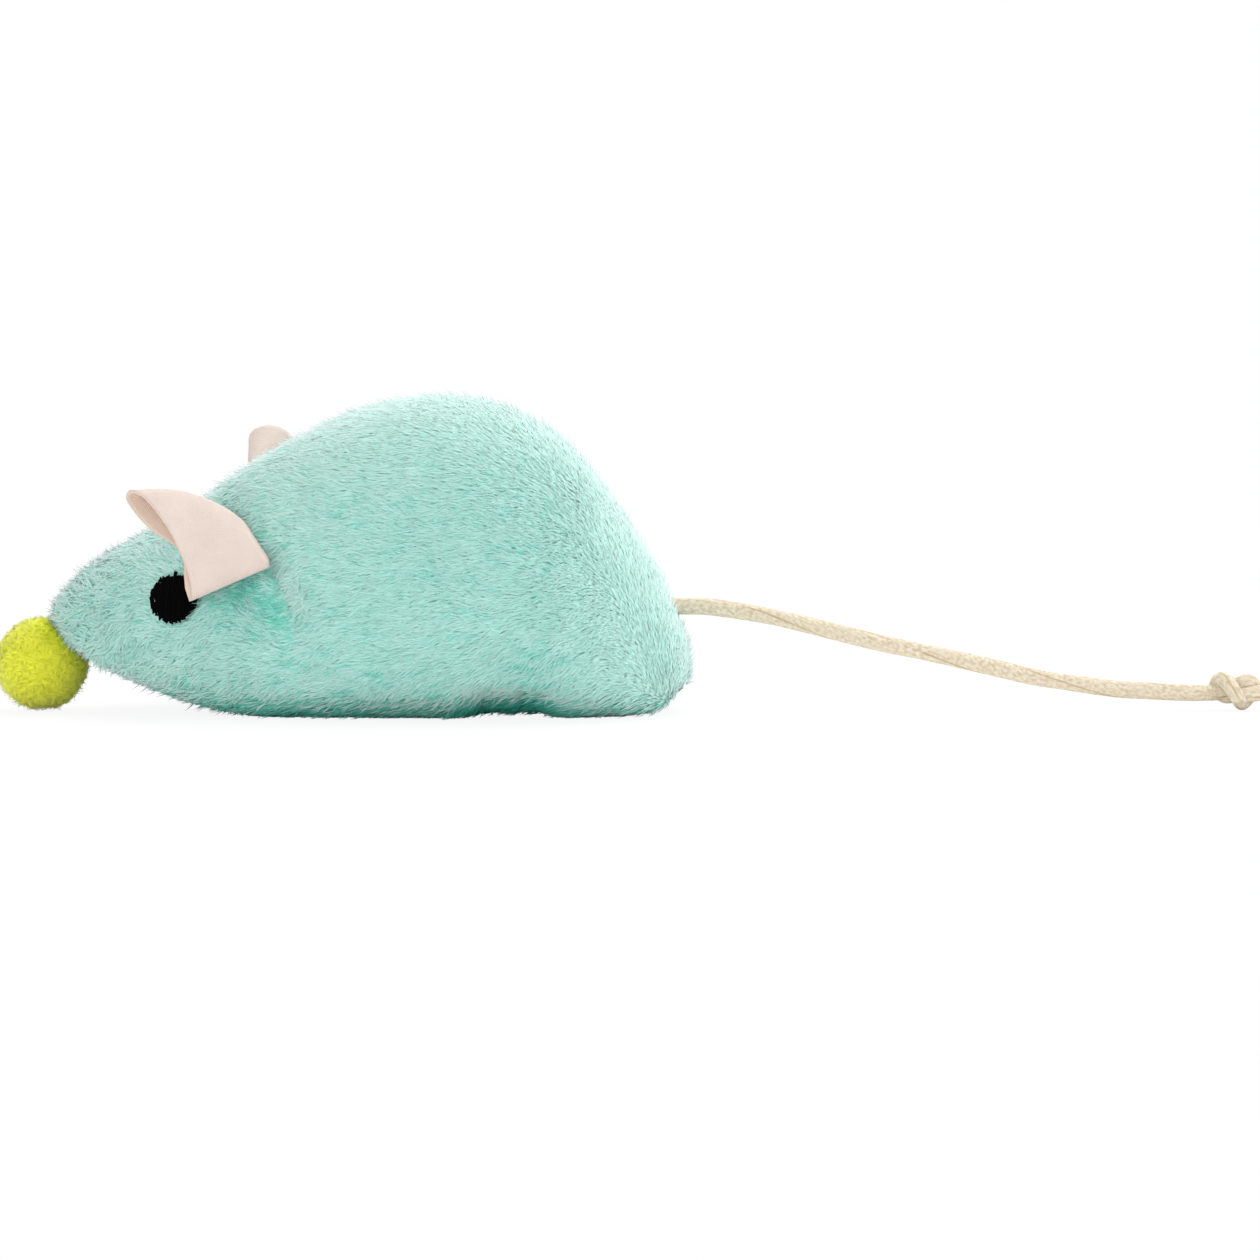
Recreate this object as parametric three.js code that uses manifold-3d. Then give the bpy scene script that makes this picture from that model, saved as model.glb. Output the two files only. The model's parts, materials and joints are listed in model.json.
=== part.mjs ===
import * as THREE from 'three';
import { mergeVertices } from 'three/addons/utils/BufferGeometryUtils.js';
import Module from 'manifold-3d';

// A stuffed plush mouse for a cat. Snout towards -X, rump towards +X, its left side towards -Y,
// standing on Z = 0. All sizes are in millimetres, all angles in degrees.

// Plush body
const bodyLength = 82;
const bodyHeight = 41;
const bodyWidth = 45;
const snoutX = -37.2;
const plushThickness = 2.4;
const baseFlatDepth = 0.9;

// The body's form at even turns from the snout's tip to the rump: shares of its height and half width
const ridgeShares = [0.315, 0.4, 0.517, 0.641, 0.835, 0.974, 1, 0.885, 0.62, 0.366, 0.13];
const bellyShares = [0.315, 0.239, 0.134, 0.051, 0, 0, 0, 0, 0, 0.03, 0.13];
const widthShares = [0, 0.205, 0.41, 0.613, 0.8, 0.942, 1, 0.942, 0.72, 0.39, 0];
const widestShare = 0.38;
const upperFullness = 2;
const lowerFullness = 3.4;

// Seams between the panels
const fitGap = 0.3;
const allowanceThickness = 1;
const allowanceDepth = 4;
const allowanceFrontX = -24;
const spineFirstTurn = 0.3;
const spineLastTurn = 0.88;
const threadDiameter = 0.6;
const baseSeamHeight = 3.2;
const baseSeamEndHeight = 0.9;
const baseFrontTurn = 0.17;
const baseRearTurn = 0.94;
const baseSeamEase = 0.14;

// Closing stitch in the left base seam
const closingStartTurn = 0.612;
const closingEndTurn = 0.686;
const closingPasses = 6;
const closingReach = 1.5;

// Embroidered eyes
const eyeDiameter = 6.2;
const eyeDepth = 0.9;
const eyeRise = 0.4;
const eyeFlatShare = 0.75;
const eyeTurn = 0.295;
const eyeAngle = 17;

// Ribbon ears: where each is sewn in, and how far its free corners reach from its sewn edge. The cuts are
// shares of its length by which the free end is hollow in the outer and the inner layer.
const ribbonThickness = 0.5;
const earTopTurn = 0.372;
const earTopAngle = 41;
const earBottomTurn = 0.41;
const earBottomAngle = 14;
const leftEarTip = { forward: 8.8, out: 8, down: -7.2 };
const leftEarCorner = { forward: 10.1, out: 1.6, down: -2.7 };
const leftEarForm = { opening: 3.4, bow: 2.5, outerCut: 0.155, innerCut: 0.2, inward: 0.3 };
const rightEarTip = { forward: -7.2, out: 9.8, down: -2.4 };
const rightEarCorner = { forward: -7, out: 7.3, down: 0 };
const rightEarForm = { opening: 5.2, bow: 1.1, outerCut: -0.11, innerCut: 0.11, inward: 1 };
const earRootOpening = 0.7;
const earHemOpening = 0.7;
const earBowSkew = 0.72;
const earFoldRoundness = 3;
const earFlare = 1.5;
const earTabDepth = 4;

// Pompom nose
const pompomDiameter = 12;
const pompomFlat = 1.1;
const pompomTiltGap = 0.45;
const noseTurn = 0.095;
const noseStitchLength = 7;
const tieKnotDiameter = 1.8;

// Tail cord: the points of its free stretch are [behind the rump, towards the right side, above the floor]
const cordDiameter = 2.1;
const tailHeight = 13.6;
const tailSewnLength = 9;
const tailRootLength = 5;
const tailRoute = [
  [0, 0, 13.6],
  [2.4, 0, 13.6],
  [5, 0, 13.4],
  [10.2, 0, 12.6],
  [15.4, 0, 11.5],
  [20.6, 0, 10.2],
  [25.8, 0, 8.9],
  [31, 0, 7.8],
  [36.2, 0, 6.7],
  [41.4, 0, 5.5],
  [46.6, 0, 4.3],
  [51.8, 0, 3.5],
  [57, 0, 2.8],
  [62.2, 0, 2.5],
  [66.4, 0, 2.3],
  [69.4, 0, 2.3],
];
const knotLength = 7.2;
const knotDiameter = 4.9;
const tailEndRoute = [
  [0, 0, 0],
  [2.6, 0.3, -0.6],
  [5.2, 1, -1],
  [8, 1.9, -1.15],
];
const tailSwing = 45;
const tailLift = 60;

// Filling and catnip sachet
const fillSplitHeight = 16;
const sachetX = 13;
const sachetLength = 34;
const sachetWidth = 24;
const sachetRim = 3;
const sachetSwell = 5;
const sachetCloth = 0.5;

// Steps of the round forms
const bodyStepsAlong = 22;
const bodyStepsAround = 24;
const earStepsAlong = 7;
const earStepsAround = 16;
const seamSteps = 14;
const tailSteps = 24;
const tailEndSteps = 5;
const sachetSteps = 8;
const threadSides = 5;
const cordSides = 8;
const ballSteps = 14;

const wasm = await Module();
wasm.setup();

const radians = THREE.MathUtils.degToRad;
const threadRadius = threadDiameter / 2;
const cordRadius = cordDiameter / 2;
const seamHalf = fitGap / 2;
const beyond = bodyLength + bodyWidth;

// Solids: a closed geometry becomes a solid that can be joined and cut, and comes back as a geometry
function solid(geometry) {
  const bare = geometry.clone();
  bare.deleteAttribute('normal');
  bare.deleteAttribute('uv');
  const merged = mergeVertices(bare, 1e-4);
  const vertProperties = new Float32Array(merged.attributes.position.array);
  const triVerts = new Uint32Array(merged.index.array);
  return new wasm.Manifold(new wasm.Mesh({ numProp: 3, vertProperties, triVerts }));
}

function geometryOf(shape) {
  const mesh = shape.getMesh();
  const geometry = new THREE.BufferGeometry();
  geometry.setAttribute('position', new THREE.BufferAttribute(new Float32Array(mesh.vertProperties), 3));
  geometry.setIndex(new THREE.BufferAttribute(new Uint32Array(mesh.triVerts), 1));
  return geometry;
}

function closedGeometry(points, triangles) {
  let volume = 0;
  for (const [a, b, c] of triangles) {
    volume += points[a].dot(new THREE.Vector3().crossVectors(points[b], points[c]));
  }
  const outward = volume > 0 ? triangles : triangles.map(([a, b, c]) => [a, c, b]);
  const geometry = new THREE.BufferGeometry();
  geometry.setFromPoints(points);
  geometry.setIndex(outward.flat());
  return geometry;
}

// A sheet of even thickness laid on surface(u, v), with u and v from 0 to 1
function thickSheet(surface, uSteps, vSteps, inner, outer) {
  const small = 1e-3;
  const points = [];
  const triangles = [];
  const row = vSteps + 1;
  const layer = row * (uSteps + 1);
  const layers = [inner, outer];
  for (const offset of layers) {
    for (let i = 0; i <= uSteps; i += 1) {
      for (let k = 0; k <= vSteps; k += 1) {
        const u = i / uSteps;
        const v = k / vSteps;
        const alongU = surface(u + small, v).sub(surface(u - small, v));
        const alongV = surface(u, v + small).sub(surface(u, v - small));
        const normal = alongU.cross(alongV).normalize();
        points.push(surface(u, v).addScaledVector(normal, offset));
      }
    }
  }
  const quad = (a, b, c, d) => triangles.push([a, b, c], [a, c, d]);
  for (let i = 0; i < uSteps; i += 1) {
    for (let k = 0; k < vSteps; k += 1) {
      const at = i * row + k;
      quad(at, at + 1, at + row + 1, at + row);
      quad(layer + at, layer + at + row, layer + at + row + 1, layer + at + 1);
    }
  }
  for (let i = 0; i < uSteps; i += 1) {
    const low = i * row;
    const high = low + vSteps;
    quad(low, low + row, layer + low + row, layer + low);
    quad(high, layer + high, layer + high + row, high + row);
  }
  for (let k = 0; k < vSteps; k += 1) {
    const last = uSteps * row + k;
    quad(k, layer + k, layer + k + 1, k + 1);
    quad(last, last + 1, layer + last + 1, layer + last);
  }
  return closedGeometry(points, triangles);
}

// A round tube along a list of points
function tube(points, radius, sides, steps) {
  const section = new THREE.Shape();
  for (let k = 0; k < sides; k += 1) {
    const turn = 2 * Math.PI * k / sides;
    const corner = [radius * Math.cos(turn), radius * Math.sin(turn)];
    if (k === 0) {
      section.moveTo(...corner);
    } else {
      section.lineTo(...corner);
    }
  }
  section.closePath();
  const extrudePath = new THREE.CatmullRomCurve3(points);
  return new THREE.ExtrudeGeometry(section, { steps, bevelEnabled: false, extrudePath });
}

// A box between two corners
function block(low, high) {
  const size = new THREE.Vector3().subVectors(high, low);
  const geometry = new THREE.BoxGeometry(size.x, size.y, size.z);
  const centre = new THREE.Vector3().addVectors(low, high).multiplyScalar(0.5);
  geometry.translate(centre.x, centre.y, centre.z);
  return geometry;
}

// A round profile of [radius, along] pairs, turned about a line from start in a direction
function turned(profile, start, direction, sides) {
  const geometry = new THREE.LatheGeometry(profile.map(([r, y]) => new THREE.Vector2(r, y)), sides);
  const up = new THREE.Vector3(0, 1, 0);
  geometry.applyQuaternion(new THREE.Quaternion().setFromUnitVectors(up, direction));
  geometry.translate(start.x, start.y, start.z);
  return geometry;
}

function rod(start, direction, length, radius, sides) {
  return turned([[0, 0], [radius, 0], [radius, length], [0, length]], start, direction, sides);
}

// Body form. turn runs from 0 at the snout's tip to 1 at the rump, angle from 0 at the right side over
// 90 at the back and 180 at the left side to 270 under the belly.
function alongBody(shares) {
  const curve = new THREE.SplineCurve(shares.map((share, i) => new THREE.Vector2(i, share)));
  return (turn) => curve.getPoint(THREE.MathUtils.clamp(turn, 0, 1)).y;
}

const ridgeShare = alongBody(ridgeShares);
const bellyShare = alongBody(bellyShares);
const widthShare = alongBody(widthShares);

const bodyX = (turn) => snoutX + bodyLength * (1 - Math.cos(Math.PI * turn)) / 2;
const ridgeZ = (turn) => bodyHeight * ridgeShare(turn);
const bellyZ = (turn) => Math.max(0, bodyHeight * bellyShare(turn));

function bodyPoint(turn, angle) {
  const low = bellyZ(turn);
  const middle = low + widestShare * (ridgeZ(turn) - low);
  const across = Math.cos(radians(angle));
  const lift = Math.sin(radians(angle));
  const bend = 2 / (lift < 0 ? lowerFullness : upperFullness);
  const y = bodyWidth / 2 * widthShare(turn) * Math.sign(across) * Math.abs(across) ** bend;
  const share = Math.abs(lift) ** bend;
  const upper = middle + (ridgeZ(turn) - middle) * share;
  const lower = Math.max(low, middle - (middle - low + baseFlatDepth) * share);
  return new THREE.Vector3(bodyX(turn), y, lift < 0 ? lower : upper);
}

function bodyNormal(turn, angle) {
  const alongTurn = bodyPoint(turn + 1e-3, angle).sub(bodyPoint(turn - 1e-3, angle));
  const alongAngle = bodyPoint(turn, angle + 0.1).sub(bodyPoint(turn, angle - 0.1));
  return alongAngle.cross(alongTurn).normalize();
}

function bodyGeometry() {
  const points = [];
  const triangles = [];
  for (let i = 1; i < bodyStepsAlong; i += 1) {
    for (let k = 0; k < bodyStepsAround; k += 1) {
      points.push(bodyPoint(i / bodyStepsAlong, 360 * k / bodyStepsAround));
    }
  }
  const snout = points.push(bodyPoint(0, 90)) - 1;
  const rump = points.push(bodyPoint(1, 90)) - 1;
  const lastRing = (bodyStepsAlong - 2) * bodyStepsAround;
  for (let k = 0; k < bodyStepsAround; k += 1) {
    const next = (k + 1) % bodyStepsAround;
    triangles.push([snout, next, k], [rump, lastRing + k, lastRing + next]);
    for (let i = 0; i < lastRing; i += bodyStepsAround) {
      triangles.push([i + k, i + next, i + bodyStepsAround + next]);
      triangles.push([i + k, i + bodyStepsAround + next, i + bodyStepsAround + k]);
    }
  }
  return closedGeometry(points, triangles);
}

// The body's form drawn in by an even amount at its ends, sides, back and base
const bodyCentre = new THREE.Vector3(snoutX + bodyLength / 2, 0, bodyHeight / 2);

function drawnIn(point, inset) {
  const share = (size) => 1 - 2 * inset / size;
  const scale = new THREE.Vector3(share(bodyLength), share(bodyWidth), share(bodyHeight));
  return point.clone().sub(bodyCentre).multiply(scale).add(bodyCentre);
}

const bodyForm = bodyGeometry();

function bodySolid(inset) {
  const geometry = bodyForm.clone();
  const place = geometry.attributes.position;
  for (let i = 0; i < place.count; i += 1) {
    const point = drawnIn(new THREE.Vector3().fromBufferAttribute(place, i), inset);
    place.setXYZ(i, point.x, point.y, point.z);
  }
  return solid(geometry);
}

// Base seam: how far above the belly line the base panel is sewn to the side panels
function baseSeamZ(turn) {
  const front = THREE.MathUtils.smoothstep(turn, baseFrontTurn, baseFrontTurn + baseSeamEase);
  const rear = 1 - THREE.MathUtils.smoothstep(turn, baseRearTurn - baseSeamEase, baseRearTurn);
  const rise = baseSeamEndHeight + (baseSeamHeight - baseSeamEndHeight) * front * rear;
  return bellyZ(turn) + rise;
}

// A line of corners moved square to itself, to its left
function movedLeft(corners, distance) {
  const ways = corners.slice(1).map((corner, i) => corner.clone().sub(corners[i]).normalize());
  const leftOf = (way) => new THREE.Vector2(-way.y, way.x);
  return corners.map((corner, i) => {
    const before = leftOf(ways[Math.max(0, i - 1)]);
    const after = leftOf(ways[Math.min(ways.length - 1, i)]);
    const step = before.clone().add(after).multiplyScalar(distance / (1 + before.dot(after)));
    return step.add(corner);
  });
}

// Everything under the base seam, grown by an amount
function underBaseSeam(grow) {
  const corners = [new THREE.Vector2(bodyX(baseFrontTurn), -bodyHeight)];
  for (let i = 0; i <= bodyStepsAlong; i += 1) {
    const turn = THREE.MathUtils.lerp(baseFrontTurn, baseRearTurn, i / bodyStepsAlong);
    corners.push(new THREE.Vector2(bodyX(turn), baseSeamZ(turn)));
  }
  corners.push(new THREE.Vector2(bodyX(baseRearTurn), -bodyHeight));
  const outline = new THREE.Shape(movedLeft(corners, grow));
  const geometry = new THREE.ExtrudeGeometry(outline, { depth: 2 * beyond, bevelEnabled: false });
  geometry.rotateX(Math.PI / 2);
  geometry.translate(0, beyond, 0);
  return solid(geometry);
}

// The angle round the body at which the left base seam lies
function baseSeamAngle(turn) {
  let low = 180;
  let high = 270;
  for (let i = 0; i < 30; i += 1) {
    const middle = (low + high) / 2;
    if (bodyPoint(turn, middle).z > baseSeamZ(turn)) {
      low = middle;
    } else {
      high = middle;
    }
  }
  return low;
}

// The line along the left (side -1) or right (side 1) base seam, drawn into the body
function baseSeamLine(side, inset) {
  const points = [];
  const first = baseFrontTurn + baseSeamEase / 2;
  const last = baseRearTurn - baseSeamEase / 2;
  for (let i = 0; i <= seamSteps; i += 1) {
    const turn = THREE.MathUtils.lerp(first, last, i / seamSteps);
    const point = drawnIn(bodyPoint(turn, baseSeamAngle(turn)), inset);
    point.y *= -side;
    points.push(point);
  }
  return points;
}

// Back seam: the seam allowances of both side panels, as a band round the inside of the middle plane
// down to the tail, with some spare room at its inside and its ends
const bandInner = plushThickness + allowanceDepth;

function seamBand(halfWidth, outerInset, spare) {
  const low = new THREE.Vector3(allowanceFrontX - spare, -halfWidth, tailHeight - spare);
  const high = new THREE.Vector3(beyond, halfWidth, beyond);
  const ring = bodySolid(outerInset).subtract(bodySolid(bandInner + spare));
  return ring.intersect(solid(block(low, high)));
}

// Ribbon ears. The frame has its origin at the top of the sewn edge, down along the sewn edge,
// out of the head and forward along the head. It is worked out for the left ear.
const leftAngle = (angle) => 180 - angle;
const earTop = bodyPoint(earTopTurn, leftAngle(earTopAngle));
const earBottom = bodyPoint(earBottomTurn, leftAngle(earBottomAngle));
const earMidTurn = (earTopTurn + earBottomTurn) / 2;
const earMidAngle = leftAngle((earTopAngle + earBottomAngle) / 2);
const earDown = new THREE.Vector3().subVectors(earBottom, earTop);
const earSewnLength = earDown.length();
earDown.normalize();
const earOut = bodyNormal(earMidTurn, earMidAngle);
earOut.addScaledVector(earDown, -earOut.dot(earDown)).normalize();
const earForward = new THREE.Vector3().crossVectors(earDown, earOut);
const earBulge = bodyPoint(earMidTurn, earMidAngle).sub(earTop).dot(earOut);
const earRootReach = (earRootOpening + ribbonThickness) / 2;
const earRootLift = earBulge + earRootReach + fitGap;
const earRootTop = earTop.clone().addScaledVector(earOut, earRootLift);
const earRootBottom = earBottom.clone().addScaledVector(earOut, earRootLift);

function earCornerPoint(root, corner) {
  const point = root.clone().addScaledVector(earForward, corner.forward);
  return point.addScaledVector(earOut, corner.out).addScaledVector(earDown, corner.down);
}

// The ribbon runs from its outer hem up over the fold and down to its inner hem as v goes from 0 to 1,
// and from its sewn edge to its free end as u does. Its fold bows upwards, most near its sewn edge.
function earGeometry(tip, corner, form) {
  const tipPoint = earCornerPoint(earRootTop, tip);
  const cornerPoint = earCornerPoint(earRootBottom, corner);
  const foldWay = new THREE.Vector3().subVectors(tipPoint, earRootTop);
  const across = new THREE.Vector3().crossVectors(earDown, foldWay).normalize();
  const surface = (u, v) => {
    const round = 2 * v - 1;
    const share = Math.abs(round) ** earFoldRoundness;
    const isOuter = round < 0;
    const reach = u * (1 - (isOuter ? form.outerCut : form.innerCut) * Math.sin(Math.PI * share));
    const bow = form.bow * Math.sin(Math.PI * Math.max(0, reach) ** earBowSkew);
    const upper = earRootTop.clone().lerp(tipPoint, reach).addScaledVector(earDown, -bow);
    const lower = earRootBottom.clone().lerp(cornerPoint, reach);
    const opening = THREE.MathUtils.lerp(earRootOpening, form.opening, Math.max(0, u) ** earFlare);
    const hem = THREE.MathUtils.lerp(earRootOpening, earHemOpening, u);
    const bulge = opening * Math.sin(Math.PI * round) * (isOuter ? 1 : form.inward);
    const spread = (bulge + hem * round) / 2;
    return upper.lerp(lower, share).addScaledVector(across, spread);
  };
  return thickSheet(surface, earStepsAlong, earStepsAround, -ribbonThickness / 2, ribbonThickness / 2);
}

// A box in the ear's frame: along the sewn edge, across its thickness, from a depth under the skin to its top
function earBlock(spare, halfThickness, bottomDepth, topLift) {
  const length = earSewnLength + 2 * spare;
  const height = bottomDepth + topLift;
  const geometry = new THREE.BoxGeometry(length, 2 * halfThickness, height);
  const basis = new THREE.Matrix4().makeBasis(earDown, earForward.clone().negate(), earOut);
  geometry.applyMatrix4(basis);
  const centre = earTop.clone().lerp(earBottom, 0.5).addScaledVector(earOut, (topLift - bottomDepth) / 2);
  geometry.translate(centre.x, centre.y, centre.z);
  return geometry;
}

const tabHalf = ribbonThickness;
const tabBottom = plushThickness + earTabDepth;
const tabTop = earBulge;
const tabThreadOut = -(plushThickness + earTabDepth / 2);
const tabThreadForward = tabHalf + fitGap + threadRadius;

function earTabGeometry() {
  return earBlock(-fitGap, tabHalf, tabBottom, tabTop);
}

function earThreadGeometry() {
  const start = earTop.clone().addScaledVector(earOut, tabThreadOut);
  start.addScaledVector(earForward, tabThreadForward).addScaledVector(earDown, fitGap);
  return rod(start, earDown, earSewnLength - 2 * fitGap, threadRadius, threadSides);
}

// The other side's copy of a piece made for the left side
function mirrored(geometry) {
  const copy = geometry.clone();
  copy.scale(1, -1, 1);
  const index = copy.index.array;
  for (let i = 0; i < index.length; i += 3) {
    const keep = index[i];
    index[i] = index[i + 1];
    index[i + 1] = keep;
  }
  return copy;
}

function onSide(geometry, side) {
  return side < 0 ? geometry : mirrored(geometry);
}

// Embroidered eye: a low dome sunk into the pile on the left side of the head
const eyeCentre = bodyPoint(eyeTurn, leftAngle(eyeAngle));
const eyeOut = bodyNormal(eyeTurn, leftAngle(eyeAngle));
const eyeRadius = eyeDiameter / 2;

function eyeGeometry() {
  const height = eyeDepth + eyeRise;
  const profile = [[0, 0], [eyeRadius, 0], [eyeRadius, height / 2]];
  profile.push([eyeFlatShare * eyeRadius, height], [0, height]);
  return turned(profile, eyeCentre.clone().addScaledVector(eyeOut, -eyeDepth), eyeOut, ballSteps);
}

function eyeRecess() {
  const start = eyeCentre.clone().addScaledVector(eyeOut, -eyeDepth - fitGap);
  return rod(start, eyeOut, 2 * plushThickness, eyeRadius + fitGap, ballSteps);
}

// Nose: the pompom's flat lies on the underside of the snout's tip
const noseSeat = bodyPoint(noseTurn, 270);
const noseOut = bodyNormal(noseTurn, 270);
noseOut.y = 0;
noseOut.normalize();
const noseIn = noseOut.clone().negate();
const pompomRadius = pompomDiameter / 2;
const pompomCentre = noseSeat.clone().addScaledVector(noseOut, pompomTiltGap + pompomRadius - pompomFlat);
const tieKnotRadius = tieKnotDiameter / 2;

// A short stitch with a round knot at its far end
function knottedStitch(start, direction, length) {
  const profile = [[0, 0], [threadRadius, 0], [threadRadius, length - tieKnotDiameter]];
  const steps = 6;
  for (let i = 1; i < steps; i += 1) {
    const turn = Math.PI * i / steps - Math.PI / 2;
    const r = Math.max(threadRadius, tieKnotRadius * Math.cos(turn));
    profile.push([r, length - tieKnotRadius + tieKnotRadius * Math.sin(turn)]);
  }
  profile.push([0, length]);
  return turned(profile, start, direction, threadSides);
}

const pompomFace = noseSeat.clone().addScaledVector(noseOut, pompomTiltGap);
const tieStart = pompomFace.clone().addScaledVector(noseOut, fitGap);
const tieLength = pompomRadius - pompomFlat + tieKnotRadius;
const tieHoleRadius = tieKnotRadius + fitGap;

function pompomGeometry() {
  const ball = new THREE.SphereGeometry(pompomRadius, ballSteps, ballSteps / 2 + 1);
  ball.translate(pompomCentre.x, pompomCentre.y, pompomCentre.z);
  const flat = rod(pompomFace, noseIn, pompomDiameter, pompomDiameter, ballSteps);
  const hole = rod(pompomFace.clone().addScaledVector(noseIn, 1), noseOut, tieLength + 1 + 2 * fitGap,
    tieHoleRadius, 2 * threadSides);
  return geometryOf(solid(ball).subtract(solid(flat)).subtract(solid(hole)));
}

function tieGeometry() {
  return knottedStitch(tieStart, noseOut, tieLength);
}

function noseStitchGeometry() {
  return knottedStitch(noseSeat, noseIn, noseStitchLength);
}

function noseHole(radius) {
  const start = noseSeat.clone().addScaledVector(noseOut, plushThickness);
  return solid(rod(start, noseIn, plushThickness + noseStitchLength + fitGap, radius, 2 * threadSides));
}

// Tail: it leaves through the back seam where the rump is as high as the tail's root
function rumpTurn(height) {
  let low = 0.6;
  let high = 1;
  for (let i = 0; i < 40; i += 1) {
    const middle = (low + high) / 2;
    if (ridgeZ(middle) > height) {
      low = middle;
    } else {
      high = middle;
    }
  }
  return low;
}

const backwards = new THREE.Vector3(1, 0, 0);
const tailExit = new THREE.Vector3(bodyX(rumpTurn(tailHeight - cordRadius)), 0, tailHeight);
const tailPoints = tailRoute.map(([x, y, z]) => new THREE.Vector3(tailExit.x + x, y, z));
const tailLine = new THREE.CatmullRomCurve3(tailPoints);
const tailJoint = tailLine.getPointAt(tailRootLength / tailLine.getLength());
const tailJointWay = tailLine.getTangentAt(tailRootLength / tailLine.getLength());
const tailStop = tailPoints[tailPoints.length - 1];
const knotCentre = tailStop.clone().add(new THREE.Vector3(fitGap + knotLength / 2, 0, fitGap));
const tailEndStart = knotCentre.clone().add(new THREE.Vector3(knotLength / 2 + fitGap, 0, -fitGap));

function tailSewnGeometry() {
  const start = tailExit.clone().addScaledVector(backwards, -tailSewnLength);
  return rod(start, backwards, tailSewnLength - seamHalf, cordRadius, cordSides);
}

function tailTube() {
  return solid(tube(tailPoints, cordRadius, cordSides, tailSteps));
}

// A ring with a sharp inner edge at a point of the cord, which leaves pointed ends that can bend there
function bendRoom(point, direction, halfAngle) {
  const reach = 2 * cordDiameter;
  const half = reach / Math.tan(radians(halfAngle));
  const profile = [[0, 0], [reach, -half], [reach, half], [0, 0]];
  return solid(turned(profile, point, direction, 2 * cordSides));
}

function cutAcross(point, direction) {
  const start = point.clone().addScaledVector(direction, -seamHalf);
  return solid(rod(start, direction, fitGap, cordDiameter, cordSides));
}

function tailRootGeometry() {
  const high = new THREE.Vector3(tailJoint.x, beyond, beyond);
  const near = solid(block(new THREE.Vector3(-beyond, -beyond, -beyond), high));
  const start = bendRoom(tailExit, backwards, 90 - tailSwing);
  const end = bendRoom(tailJoint, tailJointWay, 90 - tailLift / 2);
  const cuts = cutAcross(tailExit, backwards).add(cutAcross(tailJoint, tailJointWay));
  return geometryOf(tailTube().intersect(near).subtract(start).subtract(end).subtract(cuts));
}

function tailCordGeometry() {
  const low = new THREE.Vector3(tailJoint.x, -beyond, -beyond);
  const far = solid(block(low, new THREE.Vector3(3 * beyond, beyond, beyond)));
  const end = bendRoom(tailJoint, tailJointWay, 90 - tailLift / 2);
  return geometryOf(tailTube().intersect(far).subtract(end).subtract(cutAcross(tailJoint, tailJointWay)));
}

function knotGeometry() {
  const ball = new THREE.SphereGeometry(1, ballSteps, ballSteps / 2 + 1);
  ball.rotateZ(Math.PI / 2);
  ball.scale(knotLength / 2, knotDiameter / 2, knotDiameter / 2);
  ball.translate(knotCentre.x, knotCentre.y, knotCentre.z);
  return ball;
}

function tailEndGeometry() {
  const points = tailEndRoute.map(([x, y, z]) => tailEndStart.clone().add(new THREE.Vector3(x, y, z)));
  return tube(points, cordRadius, cordSides, tailEndSteps);
}

const tackX = tailExit.x - tailSewnLength + 2 * threadDiameter;
const tackRingRadius = cordRadius + fitGap + threadRadius;

function tailTackGeometry() {
  const ring = new THREE.TorusGeometry(tackRingRadius, threadRadius, threadSides, 2 * cordSides);
  ring.rotateY(Math.PI / 2);
  ring.translate(tackX, 0, tailHeight);
  return ring;
}

function tailHole(radius, spare) {
  const start = new THREE.Vector3(tailExit.x - tailSewnLength - spare, 0, tailHeight);
  return solid(rod(start, backwards, 2 * tailSewnLength, radius, 2 * cordSides));
}

// Panels
const shell = bodySolid(0).subtract(bodySolid(plushThickness));
const allowances = seamBand(seamHalf + allowanceThickness, plushThickness - seamHalf, 0);
const cover = shell.add(allowances);

function earSlit(side) {
  return solid(onSide(earBlock(fitGap, tabHalf + fitGap, tabBottom + fitGap, 2 * plushThickness), side));
}

function sidePanelGeometry(side) {
  const near = new THREE.Vector3(-beyond, side * seamHalf, -beyond);
  const far = new THREE.Vector3(beyond, side * beyond, beyond);
  const low = new THREE.Vector3().copy(near).min(far);
  const high = new THREE.Vector3().copy(near).max(far);
  let panel = cover.intersect(solid(block(low, high)));
  panel = panel.subtract(underBaseSeam(seamHalf));
  panel = panel.subtract(earSlit(side));
  panel = panel.subtract(solid(onSide(eyeRecess(), side)));
  panel = panel.subtract(noseHole(threadRadius + fitGap));
  panel = panel.subtract(tailHole(cordRadius + fitGap, fitGap));
  return geometryOf(panel);
}

function basePanelGeometry() {
  return geometryOf(shell.intersect(underBaseSeam(-seamHalf)));
}

// Threads
const spineThreadY = -(seamHalf + allowanceThickness + fitGap + threadRadius);
const spineInset = plushThickness + allowanceDepth / 2;

function spineThreadGeometry() {
  const points = [];
  for (let i = 0; i <= seamSteps; i += 1) {
    const turn = THREE.MathUtils.lerp(spineFirstTurn, spineLastTurn, i / seamSteps);
    const point = drawnIn(bodyPoint(turn, 90), spineInset);
    point.y = spineThreadY;
    points.push(point);
  }
  return tube(points, threadRadius, threadSides, seamSteps);
}

const baseThreadInset = plushThickness + fitGap + threadRadius;

function baseThread(side, spare) {
  const points = baseSeamLine(side, baseThreadInset);
  const beyondEnd = (end, inner) => end.clone().sub(inner).setLength(spare).add(end);
  if (spare > 0) {
    points.unshift(beyondEnd(points[0], points[1]));
    points.push(beyondEnd(points[points.length - 1], points[points.length - 2]));
  }
  return tube(points, threadRadius + spare, threadSides, seamSteps);
}

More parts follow.
